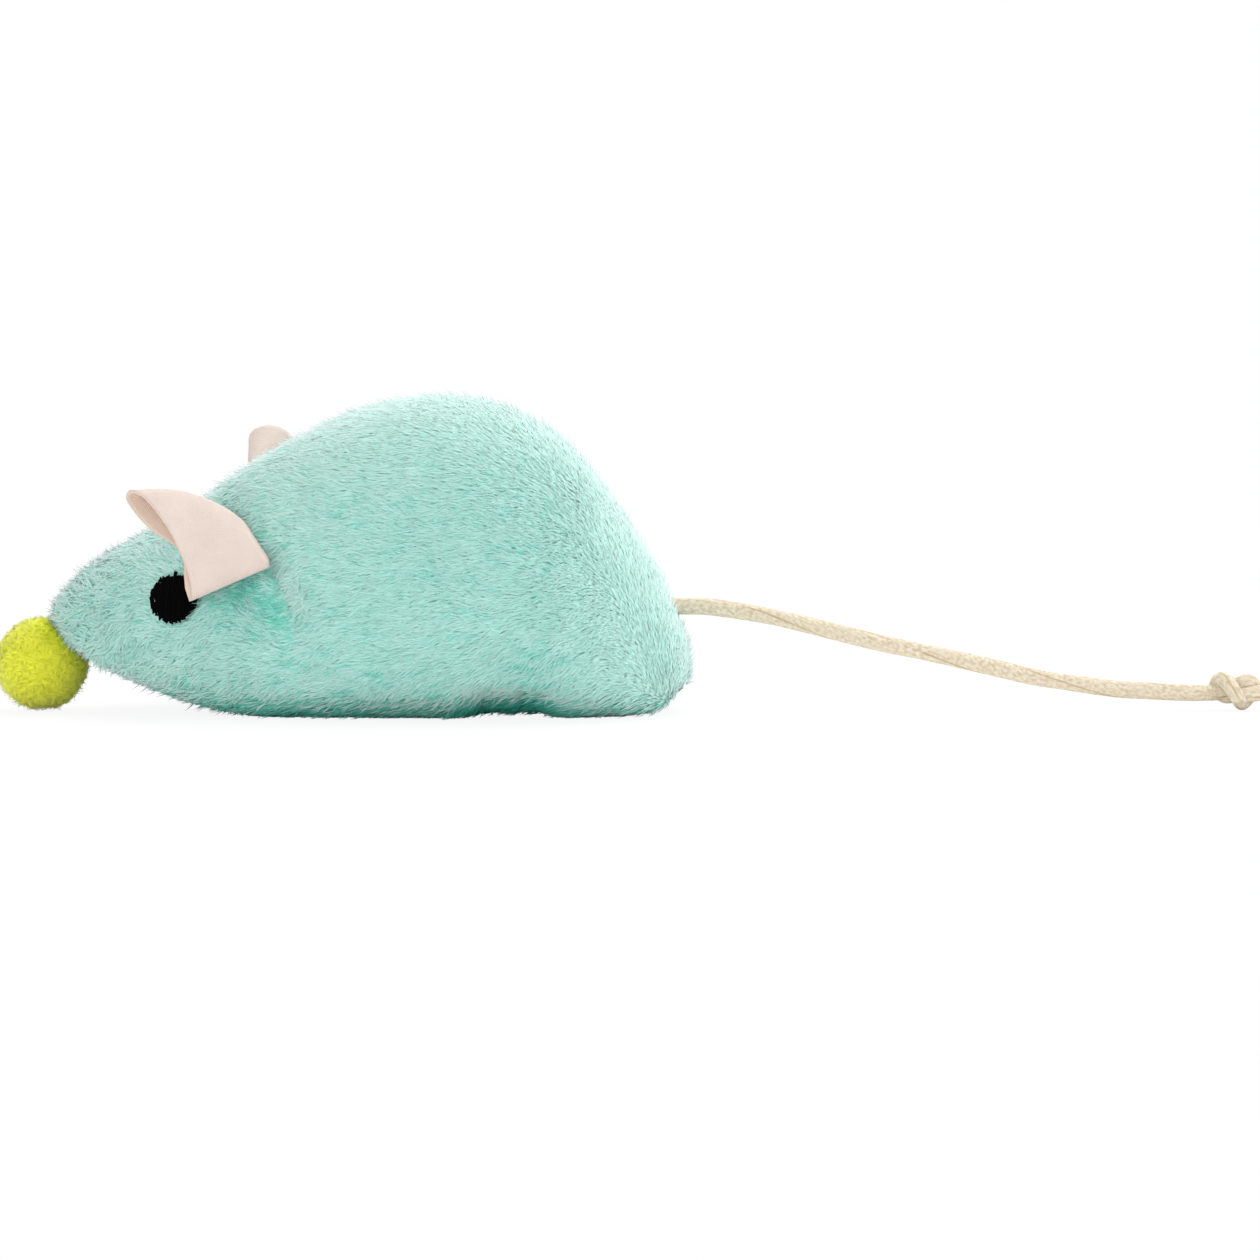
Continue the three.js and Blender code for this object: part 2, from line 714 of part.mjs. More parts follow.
function closingStitchGeometry() {
  const points = [];
  for (let i = 0; i <= closingPasses; i += 1) {
    const turn = THREE.MathUtils.lerp(closingStartTurn, closingEndTurn, i / closingPasses);
    const angle = baseSeamAngle(turn);
    const perAngle = bodyPoint(turn, angle + 1).distanceTo(bodyPoint(turn, angle - 1)) / 2;
    const across = (i % 2 === 0 ? -1 : 1) * closingReach / 2 / perAngle;
    const lift = fitGap + threadRadius;
    points.push(bodyPoint(turn, angle + across).addScaledVector(bodyNormal(turn, angle + across), lift));
  }
  return tube(points, threadRadius, threadSides, 2 * closingPasses);
}

// Sachet: two cloth sheets that swell round the dried catnip and meet flat at a sewn rim
const swellLength = sachetLength / 2 - sachetRim;
const swellWidth = sachetWidth / 2 - sachetRim;
const sheetOffset = (fitGap + sachetCloth) / 2;

// The outermost step of the sheet's grid is its flat rim
function acrossSachet(share, swell, whole) {
  const rimShare = 1 / sachetSteps;
  const edge = Math.min(share, 1 - share);
  const half = edge > rimShare
    ? swell * (0.5 - edge) / (0.5 - rimShare)
    : THREE.MathUtils.lerp(whole / 2, swell, edge / rimShare);
  return share < 0.5 ? -half : half;
}

function sachetSheetGeometry(side) {
  const surface = (u, v) => {
    const x = acrossSachet(u, swellLength, sachetLength);
    const y = acrossSachet(v, swellWidth, sachetWidth);
    const left = Math.max(0, 1 - (x / swellLength) ** 2 - (y / swellWidth) ** 2);
    const z = side * (sheetOffset + sachetSwell * left);
    return new THREE.Vector3(sachetX + x, y, fillSplitHeight + z);
  };
  return thickSheet(surface, sachetSteps, sachetSteps, -sachetCloth / 2, sachetCloth / 2);
}

function catnipGeometry() {
  const spare = sachetCloth + 2 * fitGap;
  const ball = new THREE.SphereGeometry(1, ballSteps, ballSteps / 2 + 1);
  ball.rotateX(Math.PI / 2);
  ball.scale(swellLength - 3 * spare, swellWidth - 3 * spare, sachetSwell - spare);
  ball.translate(sachetX, 0, fillSplitHeight);
  return ball;
}

const rimThreadZ = fillSplitHeight + sheetOffset + sachetCloth / 2 + fitGap + threadRadius;

function sachetThreadGeometry() {
  const outer = new THREE.Shape();
  const inner = new THREE.Path();
  const rectangle = (path, inset) => {
    const x = sachetLength / 2 - inset;
    const y = sachetWidth / 2 - inset;
    path.moveTo(-x, -y);
    path.lineTo(x, -y);
    path.lineTo(x, y);
    path.lineTo(-x, y);
    path.closePath();
  };
  rectangle(outer, sachetRim / 2 - threadRadius);
  rectangle(inner, sachetRim / 2 + threadRadius);
  outer.holes.push(inner);
  const geometry = new THREE.ExtrudeGeometry(outer, { depth: threadDiameter, bevelEnabled: false });
  geometry.translate(sachetX, 0, rimThreadZ - threadRadius);
  return geometry;
}

function sachetPocket() {
  const rimSpare = new THREE.Vector3(sachetLength / 2, sachetWidth / 2, 0).addScalar(fitGap);
  rimSpare.z = rimThreadZ - fillSplitHeight + threadRadius + fitGap;
  const centre = new THREE.Vector3(sachetX, 0, fillSplitHeight);
  const rim = block(centre.clone().sub(rimSpare), centre.clone().add(rimSpare));
  const spare = 2 * (sachetCloth + fitGap);
  const ball = new THREE.SphereGeometry(1, ballSteps, ballSteps / 2 + 1);
  ball.rotateX(Math.PI / 2);
  ball.scale(swellLength + spare, swellWidth + spare, sachetSwell + spare);
  ball.translate(centre.x, centre.y, centre.z);
  return solid(rim).add(solid(ball));
}

// Fibre filling: one wad over the sachet and one under it
function fillingSolid() {
  const bandHalf = -spineThreadY + threadRadius + fitGap;
  let filling = bodySolid(plushThickness + fitGap);
  filling = filling.subtract(seamBand(bandHalf, 0, fitGap));
  filling = filling.subtract(noseHole(tieHoleRadius));
  filling = filling.subtract(tailHole(tackRingRadius + threadRadius + fitGap, 2 * fitGap));
  filling = filling.subtract(sachetPocket());
  for (const side of [-1, 1]) {
    const halfThickness = tabThreadForward + threadRadius + fitGap;
    const room = earBlock(fitGap, halfThickness, tabBottom + fitGap, plushThickness);
    filling = filling.subtract(solid(onSide(room, side)));
    filling = filling.subtract(solid(baseThread(side, fitGap)));
  }
  return filling;
}

const filling = fillingSolid();

function wadGeometry(side) {
  const near = new THREE.Vector3(-beyond, -beyond, fillSplitHeight + side * seamHalf);
  const far = new THREE.Vector3(beyond, beyond, side * beyond);
  const low = new THREE.Vector3().copy(near).min(far);
  const high = new THREE.Vector3().copy(near).max(far);
  return geometryOf(filling.intersect(solid(block(low, high))));
}

// Materials
const finish = (color, roughness) => new THREE.MeshStandardMaterial({ color, roughness, metalness: 0 });
const mintPlush = () => finish(0x9fd4c6, 0.95);
const pinkRibbon = () => finish(0xecdcd3, 0.6);
const blackThread = () => finish(0x0b0b0c, 0.5);
const limePile = () => finish(0xcfd743, 0.95);
const creamCord = () => finish(0xf2ecdd, 0.4);
const mintThread = () => finish(0x7fb8a8, 0.7);
const whiteFibre = () => finish(0xf4f4f0, 1);
const muslin = () => finish(0xe8e0cc, 0.9);
const driedLeaf = () => finish(0x7a8450, 0.95);

// The mouse
const mouse = new THREE.Group();

function addPiece(name, geometry, material) {
  const mesh = new THREE.Mesh(geometry, material);
  mesh.name = name;
  mouse.add(mesh);
}

const sides = [
  ['left', -1, leftEarTip, leftEarCorner, leftEarForm],
  ['right', 1, rightEarTip, rightEarCorner, rightEarForm],
];
for (const [name, side, tip, corner, form] of sides) {
  addPiece(`${name}_side_panel`, sidePanelGeometry(side), mintPlush());
  addPiece(`${name}_eye`, onSide(eyeGeometry(), side), blackThread());
  addPiece(`${name}_ear`, onSide(earGeometry(tip, corner, form), side), pinkRibbon());
  addPiece(`${name}_ear_sewn_edge`, onSide(earTabGeometry(), side), pinkRibbon());
  addPiece(`${name}_ear_thread`, onSide(earThreadGeometry(), side), mintThread());
  addPiece(`${name}_base_seam_thread`, baseThread(side, 0), mintThread());
}
addPiece('base_panel', basePanelGeometry(), mintPlush());
addPiece('back_seam_thread', spineThreadGeometry(), mintThread());
addPiece('closing_stitch', closingStitchGeometry(), mintThread());
addPiece('nose_pompom', pompomGeometry(), limePile());
addPiece('pompom_tie', tieGeometry(), limePile());
addPiece('nose_stitch', noseStitchGeometry(), mintThread());
addPiece('tail_sewn_end', tailSewnGeometry(), creamCord());
addPiece('tail_tack_thread', tailTackGeometry(), mintThread());
addPiece('tail_root', tailRootGeometry(), creamCord());
addPiece('tail_cord', tailCordGeometry(), creamCord());
addPiece('tail_knot', knotGeometry(), creamCord());
addPiece('tail_end', tailEndGeometry(), creamCord());
addPiece('upper_filling', wadGeometry(1), whiteFibre());
addPiece('lower_filling', wadGeometry(-1), whiteFibre());
addPiece('sachet_top', sachetSheetGeometry(1), muslin());
addPiece('sachet_bottom', sachetSheetGeometry(-1), muslin());
addPiece('sachet_thread', sachetThreadGeometry(), mintThread());
addPiece('dried_catnip', catnipGeometry(), driedLeaf());

export default mouse;
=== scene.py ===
import json
import math
import bpy
import numpy as np
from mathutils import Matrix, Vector, noise

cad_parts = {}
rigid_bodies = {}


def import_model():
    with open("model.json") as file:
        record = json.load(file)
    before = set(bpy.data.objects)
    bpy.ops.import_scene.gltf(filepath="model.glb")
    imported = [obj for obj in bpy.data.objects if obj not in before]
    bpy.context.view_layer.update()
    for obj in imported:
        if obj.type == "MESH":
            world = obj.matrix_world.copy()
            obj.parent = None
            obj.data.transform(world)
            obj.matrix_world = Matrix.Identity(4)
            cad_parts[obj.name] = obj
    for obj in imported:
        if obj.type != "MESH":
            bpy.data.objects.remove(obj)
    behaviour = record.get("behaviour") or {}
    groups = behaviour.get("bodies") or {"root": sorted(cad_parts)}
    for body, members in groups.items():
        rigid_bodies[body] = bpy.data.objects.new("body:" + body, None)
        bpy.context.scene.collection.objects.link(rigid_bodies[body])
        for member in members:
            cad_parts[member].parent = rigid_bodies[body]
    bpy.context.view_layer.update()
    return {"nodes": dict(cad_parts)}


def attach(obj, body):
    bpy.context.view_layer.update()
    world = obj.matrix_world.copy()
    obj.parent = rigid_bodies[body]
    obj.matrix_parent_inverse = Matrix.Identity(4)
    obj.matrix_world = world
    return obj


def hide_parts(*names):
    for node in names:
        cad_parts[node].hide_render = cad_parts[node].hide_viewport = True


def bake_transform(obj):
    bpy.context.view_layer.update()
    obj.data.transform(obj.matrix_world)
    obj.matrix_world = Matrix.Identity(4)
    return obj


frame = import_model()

mm = 0.001  # sizes below are in millimetres, as in the part's source
scene = bpy.context.scene


# helpers for meshes
def vec(values):
    return np.array(values, float)


def newPiece(name, mesh, *materials):
    obj = bpy.data.objects.new(name, mesh)
    scene.collection.objects.link(obj)
    for material in materials:
        mesh.materials.append(material)
    return obj


def dress(piece, mover, slot, *nodes):  # what it moves with and the solids that it stands for; the finish slot is not used
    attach(piece, mover)
    if nodes:
        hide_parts(*nodes)


def meshFrom(name, points, faces, edges=()):
    mesh = bpy.data.meshes.new(name)
    mesh.from_pydata((vec(points) * mm).tolist(), list(edges), [list(map(int, f)) for f in faces])
    mesh.update()
    mesh.shade_smooth()
    return mesh


def readVectors(items, key):
    flat = np.empty(len(items) * 3, np.float32)
    items.foreach_get(key, flat)
    return flat.reshape(-1, 3)


def pointsOf(mesh):
    return readVectors(mesh.vertices, "co") / mm


def normalsOf(mesh):
    return readVectors(mesh.vertex_normals, "vector")


def cornerPoints(mesh):
    points = np.empty(len(mesh.loops), np.int32)
    mesh.loops.foreach_get("vertex_index", points)
    return points


def setPoints(mesh, points):
    mesh.vertices.foreach_set("co", (np.asarray(points, np.float32) * mm).ravel())
    mesh.update()


def setUv(mesh, name, uv):
    mesh.uv_layers.new(name=name).data.foreach_set("uv", uv.astype(np.float32).ravel())


def setFields(mesh, fields):  # numbers or vectors kept on the mesh's points
    for label, values in fields.items():
        values = np.asarray(values, np.float32)
        kind, key = ("FLOAT", "value") if values.ndim == 1 else ("FLOAT_VECTOR", "vector")
        mesh.attributes.new(label, kind, "POINT").data.foreach_set(key, values.ravel())


def areaOf(mesh):
    return sum(p.area for p in mesh.polygons)


def plainMesh(obj):
    graph = bpy.context.evaluated_depsgraph_get()
    return bpy.data.meshes.new_from_object(
        obj.evaluated_get(graph), preserve_all_data_layers=True, depsgraph=graph)


def applyModifiers(obj):
    old, mesh = obj.data, plainMesh(obj)
    obj.modifiers.clear()
    obj.data = mesh
    bpy.data.meshes.remove(old)
    return mesh


def thicken(piece, thickness, offset, even=False):
    wall = piece.modifiers.new("wall", "SOLIDIFY")
    wall.thickness = thickness * mm
    wall.offset = offset
    wall.use_even_offset = even
    return applyModifiers(piece)


def smooth(start, end, value):
    share = np.clip((value - start) / (end - start), 0, 1)
    return share * share * (3 - 2 * share)


def unit(vectors):
    vectors = np.asarray(vectors, float)
    return vectors / np.maximum(np.linalg.norm(vectors, axis=-1, keepdims=True), 1e-9)


def noiseAt(points, scale, shift=0.0):
    return np.array([noise.noise(Vector(p) * scale + Vector((shift, 2 * shift, -shift))) for p in points])


def nearLine(points, start, end, reach):  # 1 on the line, fading out over the reach
    start, way = vec(start), vec(end) - vec(start)
    share = np.clip((points - start) @ way / (way @ way), 0, 1)
    away = np.linalg.norm(points - start - share[:, None] * way, axis=1)
    return np.exp(-(away / reach) ** 2)


def gridFaces(rows, columns, closed=False):
    around = columns if closed else columns - 1
    return [(i * columns + j, i * columns + (j + 1) % columns,
             (i + 1) * columns + (j + 1) % columns, (i + 1) * columns + j)
            for i in range(rows - 1) for j in range(around)]


def runAlong(path):
    return np.concatenate([[0], np.cumsum(np.linalg.norm(np.diff(path, axis=0), axis=1))])


def curveThrough(points, step):
    points = vec(points)
    out = []
    for k in range(len(points) - 1):
        a, b, c, d = (points[min(max(k + s, 0), len(points) - 1)] for s in (-1, 0, 1, 2))
        count = max(2, int(round(np.linalg.norm(c - b) / step)))
        for t in np.arange(count) / count:
            out.append(0.5 * (2 * b + (c - a) * t + (2 * a - 5 * b + 4 * c - d) * t * t
                              + (3 * b - a - 3 * c + d) * t ** 3))
    out.append(points[-1])
    return np.array(out)


def framesAlong(path, up=(0, 0, 1)):
    along = unit(np.gradient(path, axis=0))
    side = np.empty_like(along)
    last = unit(np.cross(up, along[0]))
    for k, way in enumerate(along):
        last = unit(last - way * np.dot(last, way))
        side[k] = last
    return side, np.cross(along, side)


# helpers for node trees and materials
def isSocket(value):
    return isinstance(value, bpy.types.NodeSocket)


def addNode(tree, kind, feeds=None, **settings):
    node = tree.nodes.new(kind)
    for key, value in settings.items():
        setattr(node, key, value)
    for key, value in (feeds or {}).items():
        if isSocket(value):
            tree.links.new(value, node.inputs[key])
        else:
            node.inputs[key].default_value = value
    return node


def mathNode(tree, operation, *values):
    return addNode(tree, "ShaderNodeMath", dict(enumerate(values)), operation=operation).outputs[0]


class GrowTree:  # a geometry node tree with named inputs
    def __init__(self, name, inputs):
        self.tree = bpy.data.node_groups.new(name, "GeometryNodeTree")
        face = self.tree.interface
        face.new_socket("Geometry", in_out="INPUT", socket_type="NodeSocketGeometry")
        self.ids = {}
        for label, kind in inputs.items():
            socket = face.new_socket(label, in_out="INPUT", socket_type="NodeSocket" + kind)
            self.ids[label] = socket.identifier
        face.new_socket("Geometry", in_out="OUTPUT", socket_type="NodeSocketGeometry")
        self.start = addNode(self.tree, "NodeGroupInput")
        self.end = addNode(self.tree, "NodeGroupOutput")

    def node(self, kind, feeds=None, **settings):
        return addNode(self.tree, kind, feeds, **settings)

    def maths(self, operation, *values):
        return mathNode(self.tree, operation, *values)

    def chance(self, low, high, seed):
        feeds = {2: low, 3: high, "Seed": seed}
        return self.node("FunctionNodeRandomValue", feeds, data_type="FLOAT").outputs[1]

    def attribute(self, name, kind="FLOAT"):
        return self.node("GeometryNodeInputNamedAttribute", {"Name": name}, data_type=kind).outputs["Attribute"]

    def keep(self, geometry, name, value, kind):
        feeds = {"Geometry": geometry, "Name": name, "Value": value}
        return self.node("GeometryNodeStoreNamedAttribute", feeds, data_type=kind, domain="INSTANCE").outputs[0]

    def scatter(self, density):
        given = self.start.outputs
        return self.node("GeometryNodeDistributePointsOnFaces", {
            "Mesh": given["Geometry"], "Density": density, "Seed": given["Seed"]})

    def place(self, points, group, feeds):
        shapes = self.node("GeometryNodeCollectionInfo", {
            "Collection": group, "Separate Children": True, "Reset Children": True})
        return self.node("GeometryNodeInstanceOnPoints", {
            "Points": points.outputs["Points"], "Instance": shapes.outputs[0], "Pick Instance": True,
            **feeds}).outputs[0]

    def finish(self, geometry, material):
        last = self.node("GeometryNodeSetMaterial", {"Geometry": geometry, "Material": material})
        self.tree.links.new(last.outputs["Geometry"], self.end.inputs["Geometry"])
        return last

    def grow(self, base, name, values):
        modifier = base.modifiers.new("grow", "NODES")
        modifier.node_group = self.tree
        for label, value in values.items():
            modifier[self.ids[label]] = value
        mesh = plainMesh(base)
        base.modifiers.remove(modifier)
        mesh.name = name
        return newPiece(name, mesh)


def newMaterial(name, colour, roughness, sheen=0.0, specular=0.25, sheenSpread=0.5):
    material = bpy.data.materials.new(name)
    material.use_nodes = True
    shader = material.node_tree.nodes["Principled BSDF"]
    for key, value in (("Base Color", (*colour, 1)), ("Roughness", roughness), ("Sheen Weight", sheen),
                       ("Sheen Roughness", sheenSpread), ("Specular IOR Level", specular)):
        shader.inputs[key].default_value = value
    return material, material.node_tree, shader


def mixColour(tree, factor, first, second):
    first, second = (c if isSocket(c) else (*c, 1) for c in (first, second))
    return addNode(tree, "ShaderNodeMix", {0: factor, 6: first, 7: second}, data_type="RGBA").outputs[2]


def noiseOn(tree, place, scale, detail, stretch=(1, 1, 1)):
    mapping = addNode(tree, "ShaderNodeMapping", {"Vector": place, "Scale": stretch})
    return addNode(tree, "ShaderNodeTexNoise", {
        "Vector": mapping.outputs["Vector"], "Scale": scale, "Detail": detail}).outputs["Fac"]


def objectPlace(tree):
    return addNode(tree, "ShaderNodeTexCoord").outputs["Object"]


def spread(tree, value, low, high, outLow=0.0, outHigh=1.0):
    return addNode(tree, "ShaderNodeMapRange", {"Value": value, "From Min": low, "From Max": high,
                                                "To Min": outLow, "To Max": outHigh}).outputs["Result"]


def middling(tree, value, outLow=0.0, outHigh=1.0):  # the middle range of a noise, drawn out
    return spread(tree, value, 0.3, 0.7, outLow, outHigh)


def colourFrom(tree, shader, colour):
    tree.links.new(colour, shader.inputs["Base Color"])


def addBump(tree, shader, height, distance, strength):
    bump = addNode(tree, "ShaderNodeBump", {"Height": height, "Distance": distance * mm, "Strength": strength})
    tree.links.new(bump.outputs["Normal"], shader.inputs["Normal"])


def mottled(name, base, tones, grain, bump):  # two tones in a fine grain, with a little relief
    material, tree, shader = newMaterial(name, *base)
    patch = noiseOn(tree, objectPlace(tree), *grain)
    colourFrom(tree, shader, mixColour(tree, middling(tree, patch), *tones))
    addBump(tree, shader, patch, *bump)
    return material


def weaveWaves(tree, place, scales, distortion, detail):
    return [addNode(tree, "ShaderNodeTexWave", {"Vector": place, "Scale": scale, "Distortion": distortion,
                                                "Detail": detail}, bands_direction=turn).outputs["Fac"]
            for turn, scale in zip("XY", scales)]


# camera, at the photograph's angle
view = {"aim": (37.3, 0, 10.5), "distance": 600, "elevation": 4.5, "width": 163.8, "sensor": 36, "near": 10}
camera = newPiece("camera", bpy.data.cameras.new("camera"))
tilt = math.radians(view["elevation"])
back = Vector((0, -math.cos(tilt), math.sin(tilt))) * view["distance"]
camera.location = (Vector(view["aim"]) + back) * mm
camera.rotation_euler = (math.pi / 2 - tilt, 0, 0)
camera.data.sensor_width = view["sensor"]
camera.data.lens = view["sensor"] * view["distance"] / view["width"]
camera.data.clip_start = view["near"] * mm
scene.camera = camera
print("camera set")


# satin cord: a tube of two plies that turn slowly round each other
cordLook = {
    "diameter": 2.2, "plies": 2, "lay": 38, "phase": 0.4, "groove": 0.075, "sides": 30, "step": 0.34,
    "grain": (1.7, 17, 1), "cloud": (0.22, 3, 1), "line": 0.05, "roughness": 0.55, "specular": 0.12,
    # tuck is the colour of the painted shade in the groove between the plies
    "dark": (0.45, 0.335, 0.20), "middle": (0.62, 0.54, 0.41), "pale": (0.75, 0.70, 0.59), "tuck": (0.42, 0.30, 0.14),
}


def satinCord():
    look = cordLook
    material, tree, shader = newMaterial("cream satin", look["middle"], look["roughness"], 0.0, look["specular"])
    place = addNode(tree, "ShaderNodeUVMap", uv_map="lay").outputs["UV"]
    grain = noiseOn(tree, place, 1, 4, look["grain"])
    cloud = noiseOn(tree, place, 1, 2, look["cloud"])
    turn = addNode(tree, "ShaderNodeSeparateXYZ", {"Vector": place}).outputs["Y"]
    # where the two plies meet, a dark line in patches is painted shade in the groove between them
    edge = mathNode(tree, "PINGPONG", mathNode(tree, "MULTIPLY", turn, look["plies"]), 0.5)
    line = mathNode(tree, "MULTIPLY", spread(tree, edge, 0.0, look["line"], 1.0, 0.0), spread(tree, cloud, 0.36, 0.52))
    low = mixColour(tree, spread(tree, grain, 0.28, 0.5), look["dark"], look["middle"])
    high = mixColour(tree, spread(tree, grain, 0.48, 0.68), low, look["pale"])
    soft = mixColour(tree, spread(tree, cloud, 0.35, 0.65, 0.15, 0.5), high, look["middle"])
    colourFrom(tree, shader, mixColour(tree, line, soft, look["tuck"]))
    addBump(tree, shader, grain, 0.12, 0.8)
    return material


creamSatin = satinCord()


def cordPiece(name, path, radius, flare=1.0):
    sides, count = cordLook["sides"], len(path)
    side, over = framesAlong(path)
    run = runAlong(path)
    around = np.arange(sides) / sides * 2 * math.pi
    lobes = np.abs(np.cos(cordLook["plies"] * around / 2))
    shape = radius * (1 - cordLook["groove"] * (1 - lobes) ** 2)
    angle = around + (run / cordLook["lay"] * 2 * math.pi + cordLook["phase"])[:, None]
    ring = shape * (flare * np.ones(count))[:, None]
    points = (path[:, None] + side[:, None] * (ring * np.cos(angle))[..., None]
              + over[:, None] * (ring * np.sin(angle))[..., None])
    faces = gridFaces(count, sides, True)
    faces += [list(range(sides))[::-1], list(range((count - 1) * sides, count * sides))]
    mesh = meshFrom(name, points.reshape(-1, 3), faces)
    corners = cornerPoints(mesh)
    row, column = corners // sides, corners % sides
    closes = [len(f) == 4 and f[0] % sides == sides - 1 for f in faces]  # faces that close the ring
    atEnd = np.repeat(closes, [len(f) for f in faces]) & (column == 0)
    setUv(mesh, "lay", np.stack([run[row], np.where(atEnd, 1.0, column / sides)], 1))
    return newPiece(name, mesh, creamSatin)


tail = {
    "exit": (43.6016, 0, 13.6), "start": 40.4, "joint": (48.5741, 0, 13.4032), "bend": (-4.0, 7.0),
    "route": [(0, 13.6), (2.4, 13.6), (5, 13.4), (10.2, 12.6), (15.4, 11.5), (20.6, 10.2), (25.8, 8.9),
              (31, 7.8), (36.2, 6.7), (41.4, 5.5), (46.6, 4.3), (51.8, 3.5), (57, 2.8), (62.2, 2.5),
              (66.4, 2.3), (69.4, 2.3)],
    "sewn": [(33.2, 0, 13.6), (37.5, 0, 13.6), (40.2, 0, 13.6)], "thin": 1.0,
    "tip": [(120, 0, 2.3), (122.9, 0.3, 1.7), (125.6, 1, 1.3), (128.6, 1.9, 1.15)], "frayed": 0.25,
}
tailLine = [(tail["start"], 0, tail["exit"][2])] + [(tail["exit"][0] + x, 0, z) for x, z in tail["route"]]
tailPath = curveThrough(tailLine, cordLook["step"])
tailCord = cordPiece("tail_satin_cord", tailPath, cordLook["diameter"] / 2)
tailRun = float(runAlong(tailPath)[-1])
print("tail cord", round(tailRun, 1), "mm")

# overhand knot: the cord runs in, turns once round itself and comes out through its own turn
knot = {
    "centre": (116.0, 0, 2.55), "radius": 1.06,
    "route": [(-3.5, 0, -0.2), (-2.4, 0.1, -0.2), (-1.2, 0.35, 0.1), (0.2, 0.3, 0.55), (1.6, 0.2, 1.2),
              (2.45, 0.9, 0.5), (1.9, 1.2, -0.7), (1.0, 0.1, -1.45), (0.3, -1.3, -0.8), (-0.5, -1.55, 0.3),
              (-1.3, -0.7, 1.35), (-2.0, 0.5, 1.25), (-2.1, 1.3, 0.2), (-1.2, 1.0, -0.7), (0.1, 0.1, -0.55),
              (1.6, -0.7, -0.4), (3.0, -0.4, -0.25), (4.4, 0, -0.2)],
}
knotPath = curveThrough(vec(knot["route"]) + vec(knot["centre"]), cordLook["step"])
tailKnot = cordPiece("tail_overhand_knot", knotPath, knot["radius"])

# free end past the knot, its fibres a little opened, and the end that is sewn in
tipPath = curveThrough(tail["tip"], cordLook["step"])
opened = 1 + tail["frayed"] * smooth(0.75, 1.0, np.linspace(0, 1, len(tipPath)))
tailEnd = cordPiece("tail_cord_end", tipPath, tail["thin"], opened)
tailSewn = cordPiece("tail_cord_sewn_end", curveThrough(tail["sewn"], cordLook["step"]), tail["thin"])
print("knot and cord ends made")


# plush body: the form that the part's source gives, just under the pile
body = {
    "length": 82, "height": 41, "width": 45, "snoutX": -37.2, "flat": 0.9, "widest": 0.38,
    "ridge": [0.315, 0.4, 0.517, 0.641, 0.835, 0.974, 1, 0.885, 0.62, 0.366, 0.13],
    "belly": [0.315, 0.239, 0.134, 0.051, 0, 0, 0, 0, 0, 0.03, 0.13],
    "half": [0, 0.205, 0.41, 0.613, 0.8, 0.942, 1, 0.942, 0.72, 0.39, 0],
    "upperFull": 2, "lowerFull": 3.4,
    "seamHigh": 3.2, "seamLow": 0.9, "seamFront": 0.17, "seamRear": 0.94, "seamEase": 0.14,
    "cells": (12, 44, 6), "sideCells": 22, "baseCells": 10, "floor": 0.2,
    "startInset": 0.8, "startSnout": 0.4, "swell": 0.9, "snoutInset": 0.45, "snoutTaper": 9, "give": 0.25, "cloth": 0.7,
}
clothRun = {
    "frames": 20, "scale": 10,  # run at ten times the size, where the solver is steadier
    "settings": {"quality": 6, "mass": 0.15, "tension_stiffness": 12, "compression_stiffness": 12,
                 "shear_stiffness": 4, "bending_stiffness": 0.4, "use_pressure": True,
                 "uniform_pressure_force": 4, "vertex_group_mass": "sewn"},
}


def alongBody(shares, turn):
    values = vec(shares)
    last = len(values) - 1
    spot = np.clip(turn, 0, 1) * last
    index = np.minimum(spot.astype(int), last)
    t = spot - index
    a, b = values[np.maximum(index - 1, 0)], values[index]
    c, d = values[np.minimum(index + 1, last)], values[np.minimum(index + 2, last)]
    v0, v1 = (c - a) / 2, (d - b) / 2
    return (2 * b - 2 * c + v0 + v1) * t ** 3 + (3 * c - 3 * b - 2 * v0 - v1) * t ** 2 + v0 * t + b


def bodyHeights(turn):
    low = np.maximum(0, body["height"] * alongBody(body["belly"], turn))
    ridge = body["height"] * alongBody(body["ridge"], turn)
    return low, low + body["widest"] * (ridge - low), ridge


def bodyPoint(turn, angle):
    turn, angle = np.broadcast_arrays(vec(turn), np.radians(vec(angle)))
    low, middle, ridge = bodyHeights(turn)
    across, lift = np.cos(angle), np.sin(angle)
    bend = 2 / np.where(lift < 0, body["lowerFull"], body["upperFull"])
    x = body["snoutX"] + body["length"] * (1 - np.cos(math.pi * turn)) / 2
    y = body["width"] / 2 * alongBody(body["half"], turn) * np.sign(across) * np.abs(across) ** bend
    share = np.abs(lift) ** bend
    under = np.maximum(low, middle - (middle - low + body["flat"]) * share)
    return np.stack([x, y, np.where(lift < 0, under, middle + (ridge - middle) * share)], -1)


def seamAngle(turn):
    turn = np.clip(turn, body["seamFront"], body["seamRear"])
    low, middle, ridge = bodyHeights(turn)
    ease = body["seamEase"]
    rise = smooth(body["seamFront"], body["seamFront"] + ease, turn)
    rise = rise * (1 - smooth(body["seamRear"] - ease, body["seamRear"], turn))
    height = low + body["seamLow"] + (body["seamHigh"] - body["seamLow"]) * rise
    share = np.clip((middle - height) / (middle - low + body["flat"]), 0.02, 1)
    return 180 + np.degrees(np.arcsin(share ** (body["lowerFull"] / 2)))


